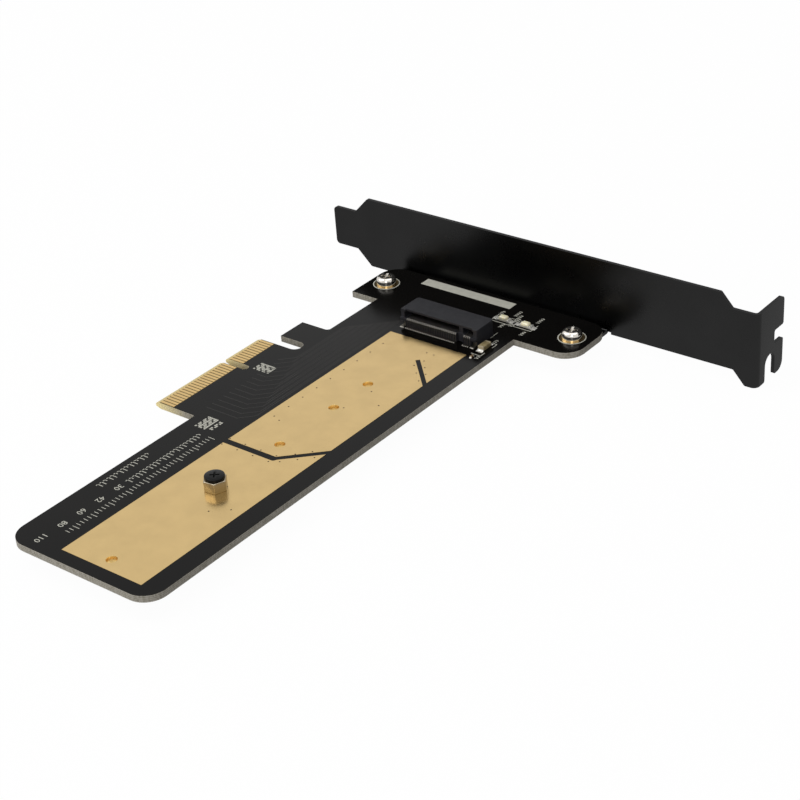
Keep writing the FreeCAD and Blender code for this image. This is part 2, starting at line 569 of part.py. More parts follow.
def strip(path, y, width, thickness):
    """Bent strip of sheet: path is its middle line in x, z; corners are mitred."""
    points = [Vector(x, 0, z) for x, z in path]
    sides = [[], []]
    for index, point in enumerate(points):
        before = (point - points[index - 1]).normalize() if index else None
        after = (points[index + 1] - point).normalize() if index < len(points) - 1 else None
        normals = [Vector(-d.z, 0, d.x) for d in (before, after) if d]
        mitre = sum(normals[1:], normals[0])
        mitre.normalize()
        reach = thickness / 2 / mitre.dot(normals[0])
        sides[0].append(point + mitre * reach)
        sides[1].append(point - mitre * reach)
    outline = sides[0] + sides[1][::-1]
    return polygon_face([point + Y * (y - width / 2) for point in outline]).extrude(Y * width)


def lower_contacts():
    """Contacts of the front row: tail on the board, riser in the lip, spring in the mouth."""
    middle = CONTACT_SHEET / 2
    riser_x = LIP_FRONT_X - CONTACT_SHEET - 3 * CONTACT_SLOT_PLAY + middle
    shelf = MOUTH_FLOOR - LIP_GROOVE / 2
    crest_z = STANDOFF_HEIGHT - middle - CONTACT_SLOT_PLAY
    crest_x = (MODULE_STOP_X + ROOF_FRONT_X) / 2
    path = [(LIP_FRONT_X + TAIL_REACH, middle), (riser_x, middle), (riser_x, shelf), (ROOF_FRONT_X, shelf),
            (crest_x, crest_z), (MODULE_STOP_X + 0.5, shelf + middle)]
    return [strip(path, y, CONTACT_WIDTH, CONTACT_SHEET) for y in contact_rows()[0]]


def upper_contacts():
    """Contacts of the back row: tail behind the socket, riser, then a spring under the roof."""
    middle = CONTACT_SHEET / 2
    riser_x = SOCKET_BACK_X + 3 * CONTACT_SLOT_PLAY + middle
    beam = MOUTH_ROOF + ROOF_GROOVE / 2
    crest_z = STANDOFF_HEIGHT + MODULE_THICKNESS + middle + CONTACT_SLOT_PLAY
    crest_x = (MODULE_STOP_X + ROOF_FRONT_X) / 2
    path = [(SOCKET_BACK_X - TAIL_REACH, middle), (riser_x, middle), (riser_x, beam), (MODULE_STOP_X + 0.3, beam),
            (crest_x, crest_z), (ROOF_FRONT_X - 0.8, beam - middle)]
    return [strip(path, y, CONTACT_WIDTH, CONTACT_SHEET) for y in contact_rows()[1]]


def solder_lugs():
    """Bent metal lugs that hold the ends of the socket down."""
    lugs = []
    for side in (-1, 1):
        y = side * (LUG_INNER_Y + LUG_WIDTH / 2)
        wall_x = ROOF_FRONT_X + LUG_SHEET / 2
        path = [(LIP_FRONT_X + LUG_REACH, LUG_SHEET / 2), (wall_x, LUG_SHEET / 2), (wall_x, LUG_HEIGHT)]
        lugs.append(strip(path, y, LUG_WIDTH, LUG_SHEET))
    return lugs


# Small surface-mounted parts

def lamp_base(y):
    """Ceramic base of an indicator lamp, its long side along y."""
    return block((LAMP_X - LAMP_WIDTH / 2, LAMP_X + LAMP_WIDTH / 2), (y - LAMP_LENGTH / 2, y + LAMP_LENGTH / 2),
                 (0, LAMP_BASE_HEIGHT))


def lamp_lens(y):
    """Moulded lens on the base, narrower at its top."""
    wires = []
    for z, inset in ((LAMP_BASE_HEIGHT, 0), (LAMP_BASE_HEIGHT + LENS_HEIGHT, LENS_DRAFT)):
        half_x, half_y = LAMP_WIDTH / 2 - inset, LENS_LENGTH / 2 - inset
        outline = [(LAMP_X - half_x, y - half_y, LENS_DRAFT), (LAMP_X + half_x, y - half_y, LENS_DRAFT),
                   (LAMP_X + half_x, y + half_y, LENS_DRAFT), (LAMP_X - half_x, y + half_y, LENS_DRAFT)]
        wires.append(rounded_face(outline, lambda u, v, z=z: Vector(u, v, z)).OuterWire)
    return Part.makeLoft(wires, True, True)


def chip_capacitor(x, y, size, terminal):
    """Ceramic body and two metal end caps of a chip capacitor lying along x."""
    length, width, height = size
    low, high = x - length / 2, x + length / 2
    y_range, z_range = (y - width / 2, y + width / 2), (0, height)
    body = block((low + terminal, high - terminal), y_range, z_range)
    return body, [block((low, low + terminal), y_range, z_range), block((high - terminal, high), y_range, z_range)]


def solder_fillet(foot, outwards, across, width, reach, height):
    """Wedge of solder from a terminal's foot down to the board."""
    corner = foot - across * (width / 2)
    points = [corner, corner + outwards * reach, corner + outwards * (reach * 0.45) + Z * (height * 0.3),
              corner + Z * height]
    return polygon_face(points).extrude(across * width)


def lamp_solder():
    """Solder at both ends of both lamps."""
    fillets = []
    for y in LAMP_YS:
        for side in (-1, 1):
            foot = Vector(LAMP_X, y + side * LAMP_LENGTH / 2, 0)
            fillets.append(solder_fillet(foot, Y * side, X, LAMP_WIDTH, LAMP_FILLET, LAMP_BASE_HEIGHT))
    return fillets


def capacitor_solder():
    """Solder at both ends of both capacitors."""
    fillets = []
    for x, y, size, reach in ((LARGE_CAP_X, CAP_Y, LARGE_CAP, LARGE_FILLET),
                              (SMALL_CAP_X, CAP_Y, SMALL_CAP, SMALL_FILLET)):
        for side in (-1, 1):
            foot = Vector(x + side * size[0] / 2, y, 0)
            fillets.append(solder_fillet(foot, X * side, Y, size[1], reach, size[2] * 0.8))
    return fillets


def card():
    """Every piece of the card, by the name of its node."""
    near_plane, far_plane = heat_plane()
    large_body, large_caps = chip_capacitor(LARGE_CAP_X, CAP_Y, LARGE_CAP, TERMINAL_SHARE_LARGE)
    small_body, small_caps = chip_capacitor(SMALL_CAP_X, CAP_Y, SMALL_CAP, TERMINAL_SHARE_SMALL)
    return {
        "circuit_board": [circuit_board()],
        "slot_bracket": [slot_bracket()],
        "tongue_side_screw": [bracket_screw(SCREW_YS[0])],
        "flange_side_screw": [bracket_screw(SCREW_YS[1])],
        "tongue_side_screw_pad": [screw_pad(SCREW_YS[0])],
        "flange_side_screw_pad": [screw_pad(SCREW_YS[1])],
        "heat_plane_near": [near_plane],
        "heat_plane_far": [far_plane],
        "edge_fingers_top": edge_fingers(0),
        "edge_fingers_bottom": edge_fingers(BOARD_BOTTOM - FOIL),
        "socket_housing": [socket_housing()],
        "socket_lower_contacts": lower_contacts(),
        "socket_upper_contacts": upper_contacts(),
        "socket_solder_lugs": solder_lugs(),
        "standoff": [standoff()],
        "standoff_nut": [standoff_nut()],
        "module_screw": [module_screw()],
        "inner_lamp_base": [lamp_base(LAMP_YS[0])],
        "inner_lamp_lens": [lamp_lens(LAMP_YS[0])],
        "outer_lamp_base": [lamp_base(LAMP_YS[1])],
        "outer_lamp_lens": [lamp_lens(LAMP_YS[1])],
        "lamp_solder": lamp_solder(),
        "large_capacitor_body": [large_body],
        "large_capacitor_ends": large_caps,
        "small_capacitor_body": [small_body],
        "small_capacitor_ends": small_caps,
        "capacitor_solder": capacitor_solder(),
    }


def main():
    """Move the card to its origin and write each piece to its own file."""
    middle_x = (BOARD_FAR_X - FLANGE_LENGTH) / 2
    middle_y = (FLANGE_Y + TONGUE_Y) / 2
    to_origin = Vector(-middle_x, -middle_y, -FLANGE_BOTTOM)
    os.makedirs("parts", exist_ok=True)
    for name, solids in card().items():
        shape = solids[0] if len(solids) == 1 else Part.makeCompound(solids)
        shape.translated(to_origin).exportStep("parts/" + name + ".step")


main()
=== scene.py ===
"""Looks of an expansion-slot adapter card: board, bracket, socket, standoff and small parts."""

import logging
import math
from dataclasses import dataclass, field
from enum import Enum
from typing import Callable, Iterable, Optional, Sequence

import bmesh
import bpy
from mathutils import Matrix, Vector


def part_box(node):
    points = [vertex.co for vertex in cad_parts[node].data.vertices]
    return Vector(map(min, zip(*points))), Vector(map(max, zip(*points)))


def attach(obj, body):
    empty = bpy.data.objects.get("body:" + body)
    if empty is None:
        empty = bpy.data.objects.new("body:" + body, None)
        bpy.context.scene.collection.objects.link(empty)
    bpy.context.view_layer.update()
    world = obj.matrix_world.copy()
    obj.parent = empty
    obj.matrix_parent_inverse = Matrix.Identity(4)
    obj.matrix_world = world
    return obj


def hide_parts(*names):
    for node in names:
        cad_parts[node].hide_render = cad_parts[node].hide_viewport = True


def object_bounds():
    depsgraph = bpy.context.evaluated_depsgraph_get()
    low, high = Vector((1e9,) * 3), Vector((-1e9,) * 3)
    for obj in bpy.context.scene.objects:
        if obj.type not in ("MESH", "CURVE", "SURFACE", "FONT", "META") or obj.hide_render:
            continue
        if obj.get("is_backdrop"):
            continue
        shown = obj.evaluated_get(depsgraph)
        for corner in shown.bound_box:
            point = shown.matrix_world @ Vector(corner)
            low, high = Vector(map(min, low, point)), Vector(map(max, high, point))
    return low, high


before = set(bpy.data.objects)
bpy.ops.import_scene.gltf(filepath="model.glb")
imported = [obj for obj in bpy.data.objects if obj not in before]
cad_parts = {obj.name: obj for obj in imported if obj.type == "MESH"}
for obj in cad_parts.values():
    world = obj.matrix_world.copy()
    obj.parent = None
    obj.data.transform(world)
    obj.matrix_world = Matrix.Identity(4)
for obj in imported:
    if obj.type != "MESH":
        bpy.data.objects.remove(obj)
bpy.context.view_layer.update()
ROOT = "root"
MM = 0.001
WHITE = (1, 1, 1)
PANEL_GAP = 1.0  # millimetres from the bracket's inner face to the board
WAVE_SPAN = 6.3  # bands are as wide as asked where the scale is one over their width and this
NOISE_LOW, NOISE_HIGH = 0.3, 0.7  # values between which a cloudy pattern mostly stays
MIX_FIRST, MIX_SECOND, MIX_RESULT = 6, 7, 2  # colour sockets of a mix node
MERGE = 0.002  # millimetres within which a copied node's points are one
FIGURE_SHARE = 0.72  # height of a figure as a share of its letter size
FLAT = 0.5  # degrees within which a copied node's faces are one
TURNED_SIDES = 48  # sides of a screw or a ring
LOG = logging.getLogger("adapter_card")

Colour = tuple[float, float, float]
Point2 = tuple[float, float]
Point3 = tuple[float, float, float]


def tone(red: int, green: int, blue: int) -> Colour:
    """Linear colour of a display colour.

    Args:
        red: red, 0 to 255.
        green: green, 0 to 255.
        blue: blue, 0 to 255.

    Returns:
        The three linear values, 0 to 1.
    """
    values = []
    for channel in (red, green, blue):
        share = channel / 255
        values.append(share / 12.92 if share <= 0.04045 else ((share + 0.055) / 1.055) ** 2.4)
    return values[0], values[1], values[2]


# ---------------------------------------------------------------- the card's own millimetres


@dataclass(frozen=True)
class Datum:
    """Origin of the card's frame: bracket's inner face, module's middle, board's top."""

    origin: Vector

    @classmethod
    def from_frame(cls) -> "Datum":
        """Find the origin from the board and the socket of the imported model.

        Returns:
            The datum.
        """
        board_low, board_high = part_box("circuit_board")
        socket_low, socket_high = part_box("socket_housing")
        middle_y = (socket_low.y + socket_high.y) / 2
        return cls(Vector((board_low.x - PANEL_GAP * MM, middle_y, board_high.z)))

    def matrix(self) -> Matrix:
        """Turn the card's millimetres into the frame's metres."""
        return Matrix.Translation(self.origin) @ Matrix.Scale(MM, 4)

    def at(self, x: float, y: float, z: float) -> Vector:
        """Point of the frame, in metres, for a point of the card in millimetres."""
        return self.matrix() @ Vector((x, y, z))


DATUM = Datum.from_frame()


# ---------------------------------------------------------------- finishes


class Graph:
    """Node tree of one material, with short ways to add and join its nodes."""

    def __init__(self, name: str) -> None:
        """Start a material that holds one surface shader.

        Args:
            name: name of the material.
        """
        self.material = bpy.data.materials.new(name)
        self.material.use_nodes = True
        self.tree = self.material.node_tree
        self.tree.nodes.clear()
        self.output = self.tree.nodes.new("ShaderNodeOutputMaterial")
        self.shader = self.tree.nodes.new("ShaderNodeBsdfPrincipled")
        self.join(self.shader.outputs[0], self.output.inputs["Surface"])

    def add(self, kind: str, **settings: object) -> bpy.types.Node:
        """Add a node.

        Args:
            kind: the node's type.
            settings: its properties by name.

        Returns:
            The new node.
        """
        node = self.tree.nodes.new(kind)
        for key, value in settings.items():
            setattr(node, key, value)
        return node

    def join(self, source: bpy.types.NodeSocket, target: bpy.types.NodeSocket) -> None:
        """Link an output to an input."""
        self.tree.links.new(source, target)

    def place(self, stretch: Point3 = (1, 1, 1)) -> bpy.types.NodeSocket:
        """Coordinates in the card's own millimetres.

        Args:
            stretch: factor on each axis, above 1 for a finer pattern.

        Returns:
            The vector output.
        """
        coordinates = self.add("ShaderNodeTexCoord")
        mapping = self.add("ShaderNodeMapping")
        mapping.inputs["Scale"].default_value = [value / MM for value in stretch]
        shift = [-start * value / MM for start, value in zip(DATUM.origin, stretch)]
        mapping.inputs["Location"].default_value = shift
        self.join(coordinates.outputs["Object"], mapping.inputs["Vector"])
        return mapping.outputs["Vector"]

    def noise(self, size: float, stretch: Point3 = (1, 1, 1),
              detail: float = 3) -> bpy.types.NodeSocket:
        """Cloudy pattern.

        Args:
            size: size of a patch in millimetres.
            stretch: factor on each axis.
            detail: number of finer layers.

        Returns:
            The value output, 0 to 1.
        """
        node = self.add("ShaderNodeTexNoise")
        node.inputs["Scale"].default_value = 1 / size
        node.inputs["Detail"].default_value = detail
        self.join(self.place(stretch), node.inputs["Vector"])
        return node.outputs[0]

    def wave(self, direction: str, width: float,
             settings: dict[str, float]) -> bpy.types.NodeSocket:
        """Bands across one axis.

        Args:
            direction: X, Y or Z.
            width: width of a band in millimetres.
            settings: further inputs of the pattern by name.

        Returns:
            The value output, 0 to 1.
        """
        node = self.add("ShaderNodeTexWave", bands_direction=direction)
        node.inputs["Scale"].default_value = 1 / (width * WAVE_SPAN)
        for key, value in settings.items():
            node.inputs[key].default_value = value
        self.join(self.place(), node.inputs["Vector"])
        return node.outputs[1]

    def spread(self, value: bpy.types.NodeSocket, low: float,
               high: float) -> bpy.types.NodeSocket:
        """Map the middle of a pattern onto a range.

        Args:
            value: the pattern.
            low: lower end of the range.
            high: upper end of the range.

        Returns:
            The value output.
        """
        node = self.add("ShaderNodeMapRange")
        ends = {"From Min": NOISE_LOW, "From Max": NOISE_HIGH, "To Min": low, "To Max": high}
        for key, number in ends.items():
            node.inputs[key].default_value = number
        self.join(value, node.inputs["Value"])
        return node.outputs["Result"]

    def ramp(self, value: bpy.types.NodeSocket,
             stops: Sequence[tuple[float, Colour]]) -> bpy.types.NodeSocket:
        """Colours along a value.

        Args:
            value: the value to read.
            stops: places and their colours, in rising order.

        Returns:
            The colour output.
        """
        node = self.add("ShaderNodeValToRGB")
        elements = node.color_ramp.elements
        while len(elements) < len(stops):
            elements.new(0.5)
        for element, (place, colour) in zip(elements, stops):
            element.position = place
            element.color = (*colour, 1)
        self.join(value, node.inputs[0])
        return node.outputs[0]

    def bump(self, value: bpy.types.NodeSocket, depth: float) -> None:
        """Raise the surface by a pattern.

        Args:
            value: height, 0 to 1.
            depth: height of the pattern in millimetres.
        """
        node = self.add("ShaderNodeBump")
        node.inputs["Strength"].default_value = 1.0
        node.inputs["Distance"].default_value = depth * MM
        self.join(value, node.inputs["Height"])
        self.join(node.outputs[0], self.shader.inputs["Normal"])


@dataclass(frozen=True)
class Finish:
    """Plain surface with patches of tone, an uneven gloss and a fine grain; in millimetres.

    The field edge is the share of a metal's gleam that is left at a glancing view. The fields dark
    and pale are the values of the pattern where its darkest and palest tones start, and
    gloss_patch is the size of a patch of gloss as a share of a patch of tone.
    """

    name: str
    colour: Colour
    roughness: float
    metallic: float = 0.0
    specular: float = 0.5
    tone_swing: float = 0.12
    patch: float = 3.0
    gloss_swing: float = 0.05
    grain: float = 0.3
    grain_depth: float = 0.002
    edge: float = 1.0
    dark: float = 0.35
    pale: float = 0.65
    gloss_patch: float = 0.6

    def material(self) -> bpy.types.Material:
        """Material of this finish, made once.

        Returns:
            The material.
        """
        label = self.name + "_finish"
        known = bpy.data.materials.get(label)
        if known:
            return known
        graph = Graph(label)
        inputs = graph.shader.inputs
        inputs["Metallic"].default_value = self.metallic
        inputs["Specular IOR Level"].default_value = self.specular
        inputs["Specular Tint"].default_value = (self.edge, self.edge, self.edge, 1)
        self.paint(graph)
        return graph.material

    def paint(self, graph: Graph) -> None:
        """Join the patterns to the shader.

        Args:
            graph: the material's tree.
        """
        low = tuple(value * (1 - self.tone_swing) for value in self.colour)
        high = tuple(min(1.0, value * (1 + self.tone_swing)) for value in self.colour)
        cloud = graph.noise(self.patch)
        tones = graph.ramp(cloud, ((self.dark, low), (self.pale, high)))
        graph.join(tones, graph.shader.inputs["Base Color"])
        shine = graph.noise(self.patch * self.gloss_patch)
        gloss = graph.spread(shine, self.roughness - self.gloss_swing,
                             self.roughness + self.gloss_swing)
        graph.join(gloss, graph.shader.inputs["Roughness"])
        if self.grain_depth:
            graph.bump(graph.noise(self.grain, detail=2), self.grain_depth)


@dataclass(frozen=True)
class LaminateWall(Finish):
    """Sawn edge of glass laminate: pale cloth layers with darker resin lines between them."""

    resin: Colour = tone(96, 92, 78)
    layer: float = 0.2
    layer_share: float = 0.35
    waviness: float = 1.5
    cut: float = 0.38
    cut_stretch: Point3 = (1, 1, 0.3)
    pale: float = 0.85

    def paint(self, graph: Graph) -> None:
        """Stack the layers along z and break them with cut marks.

        Args:
            graph: the material's tree.
        """
        settings = {"Distortion": self.waviness, "Detail": 2, "Detail Scale": 2}
        layers = graph.wave("Z", self.layer, settings)
        cuts = graph.noise(self.cut, self.cut_stretch)
        mixed = graph.add("ShaderNodeMath", operation="MULTIPLY_ADD")
        graph.join(layers, mixed.inputs[0])
        mixed.inputs[1].default_value = self.layer_share
        graph.join(cuts, mixed.inputs[2])
        tones = graph.ramp(mixed.outputs[0], ((self.dark, self.resin), (self.pale, self.colour)))
        graph.join(tones, graph.shader.inputs["Base Color"])
        graph.shader.inputs["Roughness"].default_value = self.roughness
        graph.bump(cuts, self.grain_depth)


@dataclass(frozen=True)
class TabWall(LaminateWall):
    """Sawn edge of the tab, yellower and clearer towards its bevelled tip."""

    tip: Colour = tone(206, 190, 138)
    tip_y: float = -35.5
    root_y: float = -27.0

    def paint(self, graph: Graph) -> None:
        """Fade the sawn edge into the clear tip.

        Args:
            graph: the material's tree.
        """
        super().paint(graph)
        layered = graph.shader.inputs["Base Color"].links[0].from_socket
        split = graph.add("ShaderNodeSeparateXYZ")
        graph.join(graph.place(), split.inputs[0])
        fade = graph.add("ShaderNodeMapRange")
        fade.inputs["From Min"].default_value = self.root_y
        fade.inputs["From Max"].default_value = self.tip_y
        graph.join(split.outputs["Y"], fade.inputs["Value"])
        mix = graph.add("ShaderNodeMix", data_type="RGBA")
        graph.join(fade.outputs["Result"], mix.inputs[0])
        graph.join(layered, mix.inputs[MIX_FIRST])
        mix.inputs[MIX_SECOND].default_value = (*self.tip, 1)
        graph.join(mix.outputs[MIX_RESULT], graph.shader.inputs["Base Color"])


@dataclass(frozen=True)
class WovenLaminate(Finish):
    """Bare laminate with its glass cloth just showing."""

    weave: float = 0.5
    waviness: float = 0.6
    shade: float = 0.8
    dark: float = 0.0
    pale: float = 0.7

    def paint(self, graph: Graph) -> None:
        """Cross two sets of threads under the resin.

        Args:
            graph: the material's tree.
        """
        cloth = graph.add("ShaderNodeMath", operation="MULTIPLY")
        for direction, target in zip("XY", cloth.inputs):
            threads = graph.wave(direction, self.weave, {"Distortion": self.waviness})
            graph.join(threads, target)
        low = tuple(value * self.shade for value in self.colour)
        tones = graph.ramp(cloth.outputs[0], ((self.dark, low), (self.pale, self.colour)))
        graph.join(tones, graph.shader.inputs["Base Color"])
        graph.shader.inputs["Roughness"].default_value = self.roughness
        graph.bump(cloth.outputs[0], self.grain_depth)


@dataclass(frozen=True)
class ClearLens(Finish):
    """Milky moulded lens that scatters light."""

    milk: float = 0.4
    scatter: Point3 = (1, 0.9, 0.6)
    scatter_depth: float = 0.5

    def paint(self, graph: Graph) -> None:
        """Tint the lens and let light scatter in it.

        Args:
            graph: the material's tree.
        """
        super().paint(graph)
        inputs = graph.shader.inputs
        inputs["Subsurface Weight"].default_value = self.milk
        inputs["Subsurface Radius"].default_value = self.scatter
        inputs["Subsurface Scale"].default_value = self.scatter_depth * MM


class Coat(Enum):
    """Every finish of the card."""

    MASK = Finish("solder_mask", tone(7, 6, 5), 0.17, specular=0.085, tone_swing=0.15, patch=14,
                  gloss_swing=0.03, grain=0.55, grain_depth=0.0016)
    TRACE = Finish("mask_over_copper", tone(33, 31, 29), 0.2, specular=0.13, tone_swing=0.1,
                   patch=6, grain=0.5, grain_depth=0.0016)
    WALL = LaminateWall("sawn_laminate", tone(140, 136, 128), 0.75, specular=0.25,
                        grain_depth=0.03)
    TAB_WALL = TabWall("tab_edge", tone(142, 137, 126), 0.7, specular=0.25, grain_depth=0.02)
    CLOTH = WovenLaminate("bare_laminate", tone(112, 96, 52), 0.4, specular=0.3,
                          grain_depth=0.004)
    BEVEL = WovenLaminate("bevelled_laminate", tone(212, 190, 126), 0.5, specular=0.3,
                          grain_depth=0.006, weave=0.3)
    GOLD = Finish("immersion_gold", (0.6, 0.43, 0.192), 0.21, metallic=1.0, tone_swing=0.035,
                  patch=5, gloss_swing=0.04, grain=0.45, grain_depth=0.0007)
    SLEEVE = Finish("plated_sleeve", (0.74, 0.53, 0.21), 0.35, metallic=1.0, tone_swing=0.1,
                    patch=0.8, gloss_swing=0.08, grain=0.2, grain_depth=0.003)
    FINGER = Finish("finger_gold", (0.64, 0.44, 0.18), 0.22, metallic=1.0, tone_swing=0.03,
                    patch=2, gloss_swing=0.03, grain=0.2, grain_depth=0.0008)
    PAINT = Finish("satin_black_paint", tone(43, 43, 43), 0.28, metallic=1.0, edge=0.65,
                   tone_swing=0.03, patch=9, gloss_swing=0.015, grain=0.28, grain_depth=0.0015)
    NICKEL = Finish("bright_nickel", (0.62, 0.59, 0.54), 0.1, metallic=1.0, tone_swing=0.05,
                    patch=1.2, gloss_swing=0.03, grain=0.4, grain_depth=0.0015)
    PLASTIC = Finish("socket_plastic", tone(34, 34, 37), 0.45, specular=0.12, tone_swing=0.08,
                     patch=2.5, gloss_swing=0.06, grain=0.09, grain_depth=0.0025)
    TIN = Finish("tin_plate", (0.28, 0.265, 0.235), 0.36, metallic=1.0, tone_swing=0.06,
                 patch=0.6, gloss_swing=0.06, grain=0.1, grain_depth=0.001)
    # Near-black metal of the contacts: painted shade that stands for the shade inside the socket's
    # mouth, darker than the tin of their bends on the lip. The solder lugs take it too.
    SHADED_CONTACT = Finish("shaded_contact_spring", (0.13, 0.12, 0.1), 0.4, metallic=1.0, tone_swing=0.1,
                     patch=0.6, gloss_swing=0.06, grain=0.1, grain_depth=0.001)
    BRASS = Finish("turned_brass", (0.35, 0.3, 0.215), 0.16, metallic=1.0, tone_swing=0.05,
                   patch=1.0, gloss_swing=0.03, grain=0.3, grain_depth=0.001)
    BLACKED = Finish("blackened_steel", tone(10, 10, 10), 0.24, specular=0.12, tone_swing=0.2,
                     patch=0.8, gloss_swing=0.06, grain=0.15, grain_depth=0.002)
    INK = Finish("white_print", tone(184, 183, 172), 0.6, specular=0.2, tone_swing=0.05,
                 patch=1.2, grain=0.12, grain_depth=0.002)
    LAMP = Finish("lamp_ceramic", tone(170, 166, 152), 0.45, tone_swing=0.04, patch=0.8,
                  grain=0.1, grain_depth=0.001)
    LENS = ClearLens("lamp_lens", tone(232, 226, 198), 0.25, tone_swing=0.05, patch=0.7,
                     grain_depth=0.0)
    SOLDER = Finish("solder_joint", tone(206, 204, 197), 0.3, metallic=0.45, tone_swing=0.45,
                    patch=0.3, gloss_swing=0.08, grain=0.3, grain_depth=0.012)
    CAP = Finish("tinned_cap", tone(150, 138, 112), 0.45, metallic=0.2, tone_swing=0.08,
                 patch=0.5, gloss_swing=0.06, grain=0.1, grain_depth=0.001)
    TAN = Finish("tan_ceramic", tone(130, 116, 84), 0.45, specular=0.1, tone_swing=0.06,
                 patch=0.6, grain=0.08, grain_depth=0.001)
    BROWN = Finish("brown_ceramic", tone(90, 62, 38), 0.45, specular=0.1, tone_swing=0.06,
                   patch=0.4, grain=0.08, grain_depth=0.001)
    VIA = Finish("filled_via", tone(62, 44, 16), 0.5, metallic=0.6, tone_swing=0.1, patch=0.3,
                 grain_depth=0.0)

    @property
    def material(self) -> bpy.types.Material:
        """Material of this finish."""
        return self.value.material()


# ---------------------------------------------------------------- meshes


def finished_mesh(made: bpy.types.Object) -> bpy.types.Mesh:
    """Mesh of an object after its modifiers."""
    graph = bpy.context.evaluated_depsgraph_get()
    return bpy.data.meshes.new_from_object(made.evaluated_get(graph))


